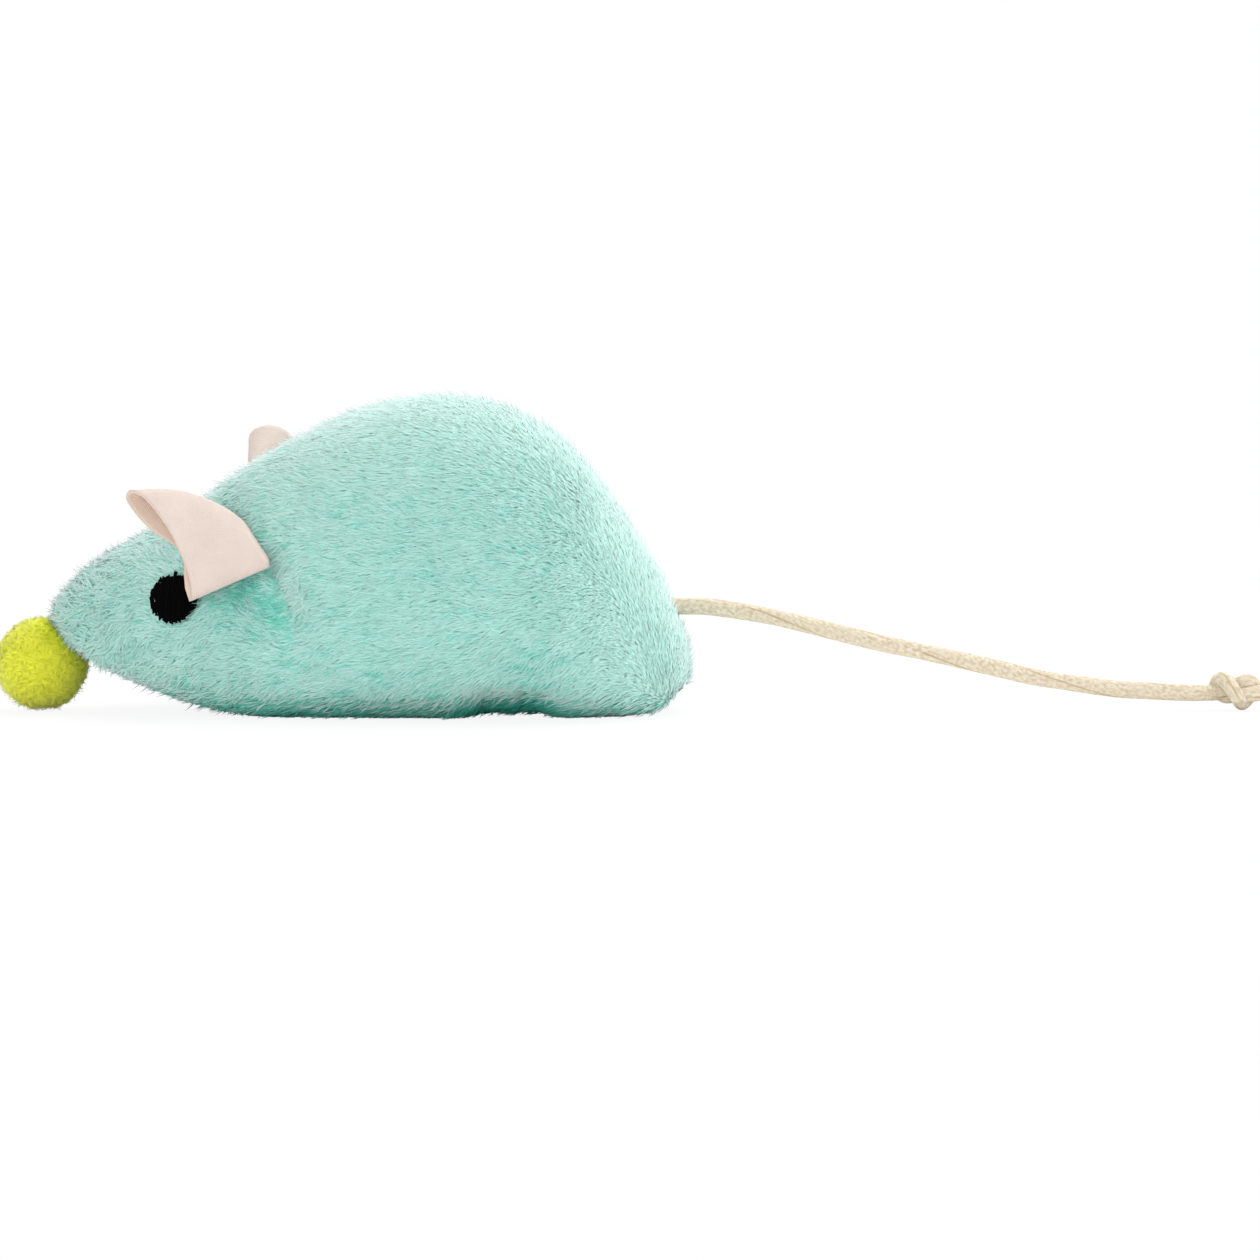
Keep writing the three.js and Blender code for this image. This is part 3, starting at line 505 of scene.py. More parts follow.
def bodySkin():
    front, middle, rear = body["cells"]
    turns = np.concatenate([np.linspace(0, body["seamFront"], front + 1)[:-1],
                            np.linspace(body["seamFront"], body["seamRear"], middle + 1)[:-1],
                            np.linspace(body["seamRear"], 1, rear + 1)])
    side, base = body["sideCells"], body["baseCells"]
    half, columns = side + base, len(turns)
    seam = seamAngle(turns)[:, None]
    share = np.arange(half + 1)
    angle = np.where(share <= side, 90 + (seam - 90) * share / side, seam + (270 - seam) * (share - side) / base)
    left = bodyPoint(turns[:, None], angle)
    rings = np.concatenate([left, left[:, 1:-1][:, ::-1] * vec((1, -1, 1))], 1)
    around = rings.shape[1]
    points = [rings[0, 0]] + [p for ring in rings[1:-1] for p in ring] + [rings[-1, 0]]
    number = lambda i, j: 0 if i == 0 else (
        len(points) - 1 if i == columns - 1 else 1 + (i - 1) * around + j % around)
    faces, panels, pins = [], [], set()
    for i in range(columns - 1):
        for j in range(around):
            quad = [number(i, j), number(i, j + 1), number(i + 1, j + 1), number(i + 1, j)]
            faces.append(list(dict.fromkeys(quad)))
            row = j if j < half else around - 1 - j
            isBase = front <= i < front + middle and row >= side
            panels.append(2 if isBase else (0 if j < half else 1))
    for i in range(columns):
        sewn = [0, side, around - side] if front <= i <= front + middle else [0]
        pins.update(number(i, j) for j in sewn)
    return np.array(points), faces, panels, sorted(pins)


def swellCloth(obj, start, pins):
    setPoints(obj.data, start * clothRun["scale"])
    obj.vertex_groups.new(name="sewn").add(pins, 1.0, "REPLACE")
    cloth = obj.modifiers.new("cloth", "CLOTH").settings
    for key, value in clothRun["settings"].items():
        setattr(cloth, key, value)
    cloth.effector_weights.gravity = 0
    for step in range(clothRun["frames"]):
        scene.frame_set(step + 1)
    swollen = pointsOf(plainMesh(obj)) / clothRun["scale"]
    obj.modifiers.clear()
    scene.frame_set(1)
    return swollen


def skinMesh():
    points, faces, panels, pins = bodySkin()
    mesh = meshFrom("plush_skin", points, faces)
    outward = normalsOf(mesh)
    if np.dot(outward[len(points) // 2], points[len(points) // 2] - points.mean(0)) < 0:
        mesh.flip_normals()
        outward = normalsOf(mesh)
    taper = smooth(0, body["snoutTaper"], points[:, 0] - body["snoutX"])[:, None]
    goal = points - outward * (body["snoutInset"] * (1 - taper))
    start = goal - outward * (body["startInset"] * (body["startSnout"] + (1 - body["startSnout"]) * taper))
    mesh.attributes.new("panel", "INT", "FACE").data.foreach_set("value", np.array(panels, np.int32))
    obj = newPiece("plush_skin", mesh)
    move = swellCloth(obj, start, pins) - start
    far = np.linalg.norm(move, axis=1, keepdims=True)
    capped = start + move * np.minimum(1, body["swell"] / np.maximum(far, 1e-6))
    out = np.sum((capped - goal) * outward, 1, keepdims=True)
    setPoints(mesh, capped - outward * np.maximum(out - body["give"], 0))
    print("cloth swelled", round(float(far.mean()), 2), "mm on average")
    divide = obj.modifiers.new("finer", "SUBSURF")
    divide.levels = divide.render_levels = 1
    return obj, applyModifiers(obj)


skin, skinFine = skinMesh()
print("skin", len(skinFine.polygons), "faces")

# marks in the fabric: the dart behind each ear, the hollow under it, the pucker of the closing stitch, the full rump
marks = {
    "dart": {"from": (-7.4, -17.5, 19.5), "to": (-5.0, -20.2, 12.0), "radius": 1.6, "depth": 1.9, "sides": (1, -1)},
    "hollow": {"from": (-11.5, -17.6, 16.0), "to": (-7.0, -19.0, 14.6), "radius": 3.2, "depth": 1.6, "sides": (1, -1)},
    "pucker": {"from": (18.4, -20.2, 2.4), "to": (26.0, -18.6, 2.4), "radius": 2.0, "depth": 1.5, "sides": (1,)},
    "rump": {"from": (44.0, -7, 7.5), "to": (44.0, 7, 7.5), "radius": 5.0, "depth": -0.9, "sides": (1,)},
}
notch = {"from": 17.0, "to": 27.5, "ease": 2.2, "lift": 2.3, "foot": 0.5, "reach": 6.0, "side": (-17.0, 10.0),
         "ragged": 0.35, "scallops": (1.3, 0.7, 0.4)}


def dentSkin(points, outward):
    for mark in marks.values():
        for side in mark["sides"]:
            mirror = vec((1, side, 1))
            near = nearLine(points, mark["from"] * mirror, mark["to"] * mirror, mark["radius"])
            points = points - outward * (mark["depth"] * near)[:, None]
    return points


def notchSkin(points):
    x, y, z = points.T
    ease = notch["ease"]
    along = smooth(notch["from"] - ease, notch["from"] + ease, x)
    along = along * (1 - smooth(notch["to"] - ease, notch["to"] + ease, x))
    near, far = notch["side"]
    share = along * (1 - smooth(notch["foot"], notch["reach"], z)) * np.clip((far - y) / (far - near), 0, 1)
    fine, broad, shift = notch["scallops"]
    share = share * (1 - notch["ragged"] * np.abs(np.sin(fine * x) * np.cos(broad * x + shift)))
    return points + vec((0, 0, notch["lift"])) * share[:, None]


skinPoints = notchSkin(dentSkin(pointsOf(skinFine), normalsOf(skinFine)))
skinPoints[:, 2] = np.maximum(skinPoints[:, 2], body["floor"])
setPoints(skinFine, skinPoints)
skinOut = normalsOf(skinFine)
skinFaces = [tuple(p.vertices) for p in skinFine.polygons]
skinPanel = np.empty(len(skinFaces), np.int32)
skinFine.attributes["panel"].data.foreach_get("value", skinPanel)
faceMiddle = np.array([skinPoints[list(f)].mean(0) for f in skinFaces])
faceArea = np.array([p.area for p in skinFine.polygons]) / mm ** 2
bpy.data.objects.remove(skin)


def subset(name, picked):
    used = sorted({v for k in picked for v in skinFaces[k]})
    place = {v: n for n, v in enumerate(used)}
    return meshFrom(name, skinPoints[used], [[place[v] for v in skinFaces[k]] for k in picked]), used


backing = mottled("mint knit backing", ((0.30, 0.60, 0.53), 0.9, 0.2), ((0.24, 0.52, 0.455), (0.35, 0.65, 0.575)),
                  (2600, 2, (1, 1, 2.5)), (0.15, 0.6))
panelNames = ["left_side", "right_side", "base"]
for index, panel in enumerate(panelNames):
    piece = newPiece(panel + "_plush", subset(panel + "_plush", np.nonzero(skinPanel == index)[0])[0])
    thicken(piece, body["cloth"], -1).materials.append(backing)
    dress(piece, "mouse", "mint_plush", panel + "_panel")
print("plush panels split")


# pile: locks of short fibre that lie towards the nose, grown from the fabric
pile = {
    "perZone": 19000, "baseCount": 15000, "length": 2.0, "width": 0.2, "lift": 6, "liftSpread": 5, "yaw": 24,
    "fuzz": 0.05, "clump": 8, "seed": 11, "lean": 0.6, "floor": 0.02, "sheen": 1.0, "sheenSpread": 0.75, "blotch": 110,
    # tip is paler as painted light on the fibre tips, root darker as painted shade between the fibres, deep is the
    # colour of painted shade in hollows and along seams
    "tip": (0.48, 0.83, 0.75), "middle": (0.315, 0.745, 0.645), "root": (0.04, 0.50, 0.39), "deep": (0.105, 0.67, 0.53),
    "locks": [(0.20, 0.0, 0.00), (0.26, 0.05, 0.012), (0.22, -0.06, 0.014),  # rise, sway and curl of each lock
              (0.30, 0.09, -0.012), (0.24, -0.1, -0.016), (0.34, 0.02, 0.018)],
}
strand = {
    "thick": 0.035, "rings": ((0.0, 0.85), (0.52, 1.0)), "sink": (0.02, 0.03),  # shape, for a length and width of 1
    "swayWave": 2.2, "curlWave": 6, "droop": 0.4, "flank": 0.866,
    "longer": 0.12, "lengths": (0.7, 1.2), "widths": (0.65, 1.35), "looseThin": -0.55, "looseLift": 0.45,
    "wisps": (260, 900, 1300), "moods": (0.2, 0.8), "messMood": (0.4, 0.6), "shadeBelow": 0.1,
}


def strandMesh(name, rise, sway, curl):
    under, low = strand["sink"]
    bend = lambda s: sway * math.sin(strand["swayWave"] * s) + curl * math.sin(strand["curlWave"] * s)
    path = lambda s: vec((s - under, bend(s), rise * s * (1 - strand["droop"] * s) - low))
    points, place = [], []
    for s, wide in strand["rings"]:
        for a in np.radians((90, 210, 330)):
            across = 0.5 * wide * math.cos(a) / strand["flank"]
            points.append(path(s) + vec((0, across, strand["thick"] * wide * math.sin(a))))
            place.append(s)
    points.append(path(1.0))
    place.append(1.0)
    faces = [(0, 2, 1)] + [(j, (j + 1) % 3, 3 + (j + 1) % 3, 3 + j) for j in range(3)]
    faces += [(3 + j, 3 + (j + 1) % 3, 6) for j in range(3)]
    mesh = bpy.data.meshes.new(name)
    mesh.from_pydata([tuple(map(float, p)) for p in points], [], faces)
    mesh.shade_smooth()
    layer = mesh.uv_layers.new(name="strand")
    for polygon in mesh.polygons:
        wraps = polygon.index and any(v % 3 == 2 and v < 6 for v in polygon.vertices)
        for loop in polygon.loop_indices:
            vertex = mesh.loops[loop].vertex_index
            column = vertex % 3 if vertex < 6 else 1.5
            layer.data[loop].uv = (1.0 if wraps and column == 0 else column / 3, place[vertex])
    return mesh


def shapeSet(name, meshes):
    group = bpy.data.collections.new(name)
    for mesh in meshes:
        group.objects.link(bpy.data.objects.new(mesh.name, mesh))
    return group


def strandSet(name, look):
    return shapeSet(name, [strandMesh(f"{name}_{k}", *lock) for k, lock in enumerate(look["locks"])])


def dropSet(group):
    for obj in list(group.objects):
        bpy.data.objects.remove(obj)
    bpy.data.collections.remove(group)


def pileTree():
    floats = ("Density", "Length", "Width", "Lift", "Lift Spread", "Yaw", "Fuzz", "Clump")
    grow = GrowTree("pile", {**dict.fromkeys(floats, "Float"), "Seed": "Int", "Variants": "Int",
                             "Strands": "Collection", "Finish": "Material", "Deep Finish": "Material"})
    given, maths, chance = grow.start.outputs, grow.maths, grow.chance
    cover, stand, shade = (grow.attribute(name) for name in ("cover", "stand", "shade"))
    points = grow.scatter(maths("MULTIPLY", given["Density"], cover))
    upright = grow.node("FunctionNodeAlignRotationToVector", {"Vector": points.outputs["Normal"]}, axis="Z")
    turned = grow.node("FunctionNodeAlignRotationToVector", {
        "Rotation": upright.outputs[0], "Vector": grow.attribute("comb", "FLOAT_VECTOR")},
        axis="X", pivot_axis="Z").outputs[0]
    loose = maths("LESS_THAN", chance(0, 1, 3), given["Fuzz"])
    mess = maths("ADD", stand, 1.0)
    yaw = maths("MULTIPLY", maths("MULTIPLY", chance(-1, 1, 4), given["Yaw"]), mess)
    yaw = maths("MULTIPLY", yaw, maths("ADD", loose, 1.0))
    lift = maths("MULTIPLY", maths("MULTIPLY_ADD", chance(-1, 1, 5), given["Lift Spread"], given["Lift"]), mess)
    spot = grow.node("ShaderNodeVectorMath", {0: grow.node("GeometryNodeInputPosition").outputs[0],
                                              1: strand["wisps"]}, operation="MULTIPLY")
    wisp = grow.node("ShaderNodeTexNoise", {"Vector": spot.outputs[0], "Scale": 1.0, "Detail": 1.0}).outputs["Fac"]
    wisp = maths("MULTIPLY_ADD", wisp, 2.0, -1.0)
    lift = maths("MULTIPLY_ADD", wisp, maths("MULTIPLY", given["Clump"], mess), lift)
    lift = maths("MULTIPLY_ADD", loose, strand["looseLift"], lift)
    for axis, amount in (("Z", yaw), ("Y", maths("MULTIPLY", lift, -1.0))):
        angle = grow.node("ShaderNodeCombineXYZ", {axis: amount})
        turn = grow.node("FunctionNodeEulerToRotation", {0: angle.outputs[0]})
        turned = grow.node("FunctionNodeRotateRotation", {
            "Rotation": turned, "Rotate By": turn.outputs[0]}, rotation_space="LOCAL").outputs[0]
    length = maths("MULTIPLY", given["Length"], chance(*strand["lengths"], 6))
    length = maths("MULTIPLY", length, maths("MULTIPLY_ADD", stand, strand["longer"], 1.0))
    width = maths("MULTIPLY", given["Width"], chance(*strand["widths"], 7))
    width = maths("MULTIPLY", width, maths("MULTIPLY_ADD", loose, strand["looseThin"], 1.0))
    size = grow.node("ShaderNodeCombineXYZ", {"X": length, "Y": width, "Z": length})
    pick = grow.node("FunctionNodeRandomValue", {
        4: 0, 5: maths("SUBTRACT", given["Variants"], 1.0), "Seed": 8}, data_type="INT")
    placed = grow.place(points, given["Strands"], {
        "Instance Index": pick.outputs[2], "Rotation": turned, "Scale": size.outputs[0]})
    mood = maths("MULTIPLY_ADD", mess, *strand["messMood"])
    mood = maths("MULTIPLY_ADD", wisp, mood, chance(*strand["moods"], 9))
    # tone: clump and random variation less the painted shade, so a negative shade paints light
    placed = grow.keep(placed, "tone", maths("SUBTRACT", mood, shade), "FLOAT")
    placed = grow.keep(placed, "ground", grow.attribute("outward", "FLOAT_VECTOR"), "FLOAT_VECTOR")
    real = grow.node("GeometryNodeRealizeInstances", {"Geometry": placed})
    lit = grow.node("GeometryNodeSetMaterial", {"Geometry": real.outputs[0], "Material": given["Finish"]})
    # strands of low tone take the painted-shade finish
    last = grow.finish(lit.outputs[0], given["Deep Finish"])
    isShaded = maths("LESS_THAN", grow.attribute("tone"), strand["shadeBelow"])
    grow.tree.links.new(isShaded, last.inputs["Selection"])
    return grow


growPile = pileTree()


def growStrands(base, name, look, count, area, seed, strands, finishes):
    values = {"Density": count / area, "Length": look["length"] * mm, "Width": look["width"] * mm,
              "Fuzz": look["fuzz"], "Seed": seed, "Variants": len(strands.objects), "Strands": strands,
              "Finish": finishes[0], "Deep Finish": finishes[1]}
    for label, key in (("Lift", "lift"), ("Lift Spread", "liftSpread"), ("Yaw", "yaw"), ("Clump", "clump")):
        values[label] = math.radians(look[key])
    return growPile.grow(base, name, values)


def settleStrands(mesh, points, look, corners=24):  # keep off the floor, lean the normals, give each strand a bake cell
    points[:, 2] = np.maximum(points[:, 2], look["floor"])
    setPoints(mesh, points)
    ground = readVectors(mesh.attributes["ground"].data, "vector")
    mesh.attributes.remove(mesh.attributes["ground"])
    mixed = unit(unit(ground) * look["lean"] + normalsOf(mesh) * (1 - look["lean"]))
    mesh.normals_split_custom_set_from_vertices(mixed.tolist())
    columns = max(1, math.ceil(math.sqrt(len(mesh.loops) // corners)))
    uv = np.empty(len(mesh.loops) * 2, np.float32)
    mesh.uv_layers["strand"].data.foreach_get("uv", uv)
    cell = np.arange(len(mesh.loops)) // corners
    spot = np.stack([cell % columns, cell // columns], 1)
    setUv(mesh, "OFBake", (spot + 0.1 + 0.8 * uv.reshape(-1, 2)) / columns)


def pileFinishes(name, shadeName, look):  # the second is painted shade for strands in hollows and along seams, where no sheen shows
    material, tree, shader = newMaterial(name, look["middle"], 0.85, look["sheen"], 0.05, look["sheenSpread"])
    place = addNode(tree, "ShaderNodeUVMap", uv_map="strand").outputs["UV"]
    along = addNode(tree, "ShaderNodeSeparateXYZ", {"Vector": place}).outputs["Y"]
    tone = addNode(tree, "ShaderNodeAttribute", attribute_name="tone").outputs["Fac"]
    # darker roots are painted shade between the fibres and paler tips painted light; low tones mix in the painted-shade
    # colour, high tones the pale tip as painted light
    low = mixColour(tree, spread(tree, along, 0.0, 0.35, 0.4, 1.0), look["root"], look["middle"])
    full = mixColour(tree, spread(tree, along, 0.45, 1.0), low, look["tip"])
    dark = mixColour(tree, spread(tree, tone, -0.45, 0.3, 0.95, 0.0), full, look["deep"])
    light = mixColour(tree, spread(tree, tone, 0.65, 1.1, 0.0, 0.6), dark, look["tip"])
    patch = noiseOn(tree, objectPlace(tree), look["blotch"], 2)
    colourFrom(tree, shader, mixColour(tree, middling(tree, patch, 0.0, 0.14), light, look["root"]))
    # the painted-shade finish: the shade colour, nearer the middle colour as the tone rises, with no sheen
    shadeMaterial, tree, shader = newMaterial(shadeName, look["deep"], 0.9, 0.0, 0.03)
    patch = noiseOn(tree, objectPlace(tree), look["blotch"], 2)
    tone = addNode(tree, "ShaderNodeAttribute", attribute_name="tone").outputs["Fac"]
    deep = mixColour(tree, spread(tree, tone, -0.8, 0.1), look["deep"], look["middle"])
    colourFrom(tree, shader, mixColour(tree, middling(tree, patch, 0.0, 0.3), deep, look["root"]))
    return material, shadeMaterial


eye = {
    "centre": (-20.5, -13.12, 15.5501), "out": (-0.4140, -0.8761, 0.2471), "diameter": 6.2, "low": -1.6, "high": 0.4,
    "dome": 0.45, "thread": 0.16, "pitch": 0.25, "start": 0.1, "steps": 9, "ragged": 0.7, "pull": 0.55, "stretch": 1.1,
    "wobble": 0.05, "waves": (9, 3), "patchUnder": 0.12, "rings": 5, "spokes": 36, "seed": 5,
}
ear = {
    "top": (-12.2463, -12.7588, 25.3320), "bottom": (-7.6386, -17.8234, 18.5058),
    "down": (0.4766, -0.5238, -0.7060), "out": (-0.3770, -0.8473, 0.3742), "forward": (-0.7942, 0.0878, -0.6013),
    "rootTop": (-12.7788, -13.9556, 25.8606), "rootBottom": (-8.1, -19.0202, 19.75),
    "left": {"tip": (-26.2150, -16.1892, 28.6462), "corner": (-17.95, -17.8292, 15.38), "opening": 3.4, "inward": 0.3,
             "bow": 2.5, "round": 3, "outerCut": (0, 0.085, 0.115, 0.135, 0.155, 0.155, 0.145, 0.13, 0.105, 0.07, 0),
             "innerCut": (0, 0.015, 0.035, 0.07, 0.14, 0.22, 0.23, 0.175, 0.09, 0.03, 0)},
    "right": {"tip": (-12.3, -21.6343, 36.0), "corner": (-5.3636, -25.8203, 25.9745), "opening": 5.2, "inward": 1,
              "bow": 1.1, "round": 2.2, "outerCut": (0, -0.06, -0.09, -0.06, 0), "innerCut": (0, 0.08, 0.11, 0.08, 0)},
    "rootOpening": 0.7, "hem": 0.7, "tuck": 0.45, "bowSkew": 0.72, "flare": 1.5, "tab": 5.6, "tabRows": 6,
    "gather": 0.3, "gatherSoon": 4, "pinch": 0.6, "thickness": 0.42, "along": 26, "around": 48, "blend": (-0.4, 2.2),
    # inside: strength of the painted warm shade on the loop's inner faces at the open end, and how much more it gets
    # towards the sewn end
    "strip": 24, "weave": (0.6, 0.5), "inside": (0.25, 0.6),
}


# how the pile lies: where its zones start and end, and how much each one sweeps or stands it up, and how much painted
# shade darkens it or painted light pales it
nap = {
    "low": (5, 22), "rear": (30, 44), "droop": -0.4, "rise": 0.9, "head": (-15, -2), "swirl": (-33, -22),
    "snout": (-34, -25), "rump": (26, 40), "top": (28, 40), "foot": (3, 13), "rim": 2.2,
    "tuft": {"from": (-5.6, 0, 21.0), "to": (-3.4, 0, 15.6), "radius": 0.9, "outside": -6, "thick": 0.8},
    "puckerSweep": {"radius": 2.2, "down": 1.6}, "tuftSweep": {"to": (-3.4, 0, 14.0), "radius": 1.6, "down": 1.4},
    "closing": {"from": (14.5, 19), "to": (25.5, 30), "high": (1.0, 4.4), "side": 2},
    "dart": 1.5, "hollow": 3.3, "root": 2.0, "nearFold": 1.05, "farFold": 0.3, "eyeGap": (0.2, 0.9),
    "grains": ((0.16, 3.1), (0.5, 7.7), (0.62, 5.5)),  # scale and shift of each noise
    "turns": {"broad": 0.9, "fine": 0.5, "all": 0.55, "head": 0.75, "rear": -0.35, "headCurl": 0.4, "snoutCurl": 2.2},
    "stand": {"head": 0.6, "snout": 1.6, "rump": -0.6, "tuft": 1.8, "closing": 1.2},
    # shade: painted shade in the ear dart and hollow (stronger on the near side), at the closing pucker, along the
    # bottom rim, low on the body and along the ear root; the negative ones are painted light on the tufts, the rump and
    # the top of the back
    "shade": {"fold": 1, "closing": 1.2, "rim": 0.9, "foot": 0.12, "root": 0.5, "tuft": -0.9, "rump": -0.42,
              "top": -0.4},
}


def turnedRound(vectors, axis, angle):
    return vectors * np.cos(angle)[:, None] + np.cross(axis, vectors) * np.sin(angle)[:, None]


def combSkin(head):
    x, y, z = skinPoints.T
    low, rear, swirl = 1 - smooth(*nap["low"], z), smooth(*nap["rear"], x), 1 - smooth(*nap["swirl"], x)
    ways = np.stack([-np.ones(len(x)), np.zeros(len(x)), nap["droop"] * low * (1 - rear) + nap["rise"] * rear], 1)
    pucker, sweep = marks["pucker"], nap["puckerSweep"]
    ways[:, 2] -= sweep["down"] * nearLine(skinPoints, pucker["from"], pucker["to"], sweep["radius"])
    sweep = nap["tuftSweep"]
    ways[:, 2] -= sweep["down"] * nearLine(skinPoints * (1, 0, 1), nap["tuft"]["from"], sweep["to"], sweep["radius"])
    ways = unit(ways - skinOut * np.sum(ways * skinOut, 1, keepdims=True))
    broad, fine, curl = (noiseAt(skinPoints, *grain) for grain in nap["grains"])
    turns = nap["turns"]
    wander = broad * turns["broad"] + fine * turns["fine"]
    wander = wander * (turns["all"] + turns["head"] * head + turns["rear"] * rear)
    wander = wander + curl * (turns["headCurl"] * head + turns["snoutCurl"] * swirl)
    return turnedRound(ways, skinOut, wander)


def napFields():
    x, y, z = skinPoints.T
    head = 1 - smooth(*nap["head"], x)
    ways = combSkin(head)
    flip = np.where(y > 0, -1.0, 1.0)[:, None] * vec((0, 1, 0)) + vec((1, 0, 1))
    mirrored = skinPoints * flip
    cover = np.ones(len(x))
    gap, ahead = nap["eyeGap"]
    for step in (0.0, ahead):
        fromEye = np.linalg.norm(mirrored + ways * flip * step - vec(eye["centre"]), axis=1)
        cover[fromEye < eye["diameter"] / 2 - gap] = 0.0
    dart, hollow = (nearLine(mirrored, marks[key]["from"], marks[key]["to"], nap[key]) for key in ("dart", "hollow"))
    tuft, closing = nap["tuft"], nap["closing"]
    zones = {
        "head": head, "snout": 1 - smooth(*nap["snout"], x), "rump": smooth(*nap["rump"], x),
        "tuft": nearLine(mirrored * vec((1, 0, 1)), tuft["from"], tuft["to"], tuft["radius"])
        * (mirrored[:, 1] < tuft["outside"]),
        "closing": smooth(*closing["from"], x) * (1 - smooth(*closing["to"], x))
        * (1 - smooth(*closing["high"], z)) * (y < closing["side"]),
        "fold": np.where(y < 0, nap["nearFold"], nap["farFold"]) * (hollow + dart),
        "rim": np.exp(-(z / nap["rim"]) ** 2), "foot": 1 - smooth(*nap["foot"], z), "top": smooth(*nap["top"], z),
        "root": nearLine(mirrored, ear["rootTop"], ear["rootBottom"], nap["root"]),
    }
    # stand lifts the pile; shade is painted shade where positive and painted light where negative
    stand, shade = (sum(share * zones[key] for key, share in nap[name].items()) for name in ("stand", "shade"))
    return {"comb": ways, "outward": skinOut, "cover": cover * (1 + tuft["thick"] * zones["tuft"]),
            "stand": stand, "shade": shade}


skinFields = napFields()
plushLocks = strandSet("lock", pile)
plushFinishes = pileFinishes("mint plush pile", "deep mint pile", pile)


def growPlush(name, picked, count, seed):
    mesh, used = subset(name + "_base", picked)
    setFields(mesh, {label: values[used] for label, values in skinFields.items()})
    base = newPiece(name + "_base", mesh)
    area = faceArea[picked].sum() * mm ** 2
    piece = growStrands(base, name, pile, count, area, seed, plushLocks, plushFinishes)
    bpy.data.objects.remove(base)
    settleStrands(piece.data, pointsOf(piece.data), pile)
    dress(piece, "mouse", "mint_plush")
    return len(piece.data.polygons)


zoneNames = ["head", "shoulder", "flank", "rump"]
pileFaces = 0
for index, panel in enumerate(panelNames):
    faces = np.nonzero(skinPanel == index)[0]
    if panel == "base":
        pileFaces += growPlush("base_pile", faces, pile["baseCount"], pile["seed"])
        continue
    order = faces[np.argsort(faceMiddle[faces, 0])]
    gone = np.cumsum(faceArea[order]) / faceArea[order].sum()
    for zone, label in enumerate(zoneNames):
        picked = order[(gone > zone / len(zoneNames)) & (gone <= (zone + 1) / len(zoneNames) + 1e-9)]
        pileFaces += growPlush(f"{panel}_{label}_pile", picked, pile["perZone"], pile["seed"] + 10 * index + zone)
dropSet(plushLocks)
print("pile", pileFaces, "faces")

# sewing: a round thread drawn along a path of points
sewing = {
    "radius": 0.28, "thin": 0.22, "sides": 6, "grain": (3800, 2), "bump": (0.06, 0.6),
    "stitch": 2.2, "wave": 0.16, "seamDepth": 3.0, "seamFloor": 3.2, "seamEnds": 0.015, "seamPoints": 190,
    "backDepth": 4.4, "backSide": -1.75, "backTurns": (0.3, 0.88), "backPoints": 150,
    "dartDepth": 4.4, "dartAhead": 1.1, "dartPoints": 40,
    "closing": (0.612, 0.686), "passes": 9, "passPoints": 6, "closingReach": 1.9, "closingTurn": 2.6,
    "closingDepth": 2.4,
    "noseSeat": (-35.3875, 0, 9.9853), "noseRun": (0.2, 6.6), "tieRun": (0.4, 5.0), "coil": 0.55, "coilRise": 0.3,
    "coilTurns": 2, "coilPoints": 40, "runPoints": 20,
    "tack": {"x": 35.8, "z": 13.6, "half": 0.9, "radius": 1.4, "turns": 3, "points": 90},
}


def threadTree():
    grow = GrowTree("thread", {"Radius": "Float", "Sides": "Int", "Finish": "Material"})
    given = grow.start.outputs
    line = grow.node("GeometryNodeMeshToCurve", {"Mesh": given["Geometry"]})
    ring = grow.node("GeometryNodeCurvePrimitiveCircle", {"Radius": given["Radius"], "Resolution": given["Sides"]})
    tube = grow.node("GeometryNodeCurveToMesh", {
        "Curve": line.outputs[0], "Profile Curve": ring.outputs[0], "Fill Caps": True})
    real = grow.node("GeometryNodeRealizeInstances", {"Geometry": tube.outputs[0]})
    grow.finish(real.outputs[0], given["Finish"])
    return grow


growThread = threadTree()


def threadPiece(name, lines, radius, material):
    points, edges = [], []
    for line in lines:
        edges += [(len(points) + k, len(points) + k + 1) for k in range(len(line) - 1)]
        points += list(line)
    base = newPiece(name + "_path", meshFrom(name + "_path", points, [], edges))
    piece = growThread.grow(base, name, {"Radius": radius * mm, "Sides": sewing["sides"], "Finish": material})
    bpy.data.objects.remove(base)
    piece.data.shade_smooth()
    return piece


def threadFinish(name, dark, light, roughness):
    return mottled(name, (light, roughness, 0.0, 0.03), (dark, light), sewing["grain"], sewing["bump"])


mintThread = threadFinish("mint sewing thread", (0.22, 0.50, 0.44), (0.42, 0.74, 0.66), 0.6)
blackThread = threadFinish("black embroidery thread", (0.0012, 0.0012, 0.0013), (0.0025, 0.0025, 0.0028), 1.0)


# embroidered eyes: satin stitches side by side over a padded patch
def satinLine(at, radius):
    rng = np.random.default_rng(eye["seed"])
    line = []
    for k, x in enumerate(np.arange(-radius + eye["start"], radius, eye["pitch"])):
        half = math.sqrt(max(radius ** 2 - x ** 2, 0)) + eye["ragged"] * (rng.random(2) - eye["pull"])
        for y in np.linspace(*((-half[0], half[1]) if k % 2 == 0 else (half[1], -half[0])), eye["steps"]):
            dome = eye["dome"] * max(0, 1 - (x * x + y * y) / radius ** 2)
            wave = math.sin(eye["waves"][0] * y + eye["waves"][1] * k)
            line.append(at(x + eye["wobble"] * wave, y, eye["high"] + dome))
    return line


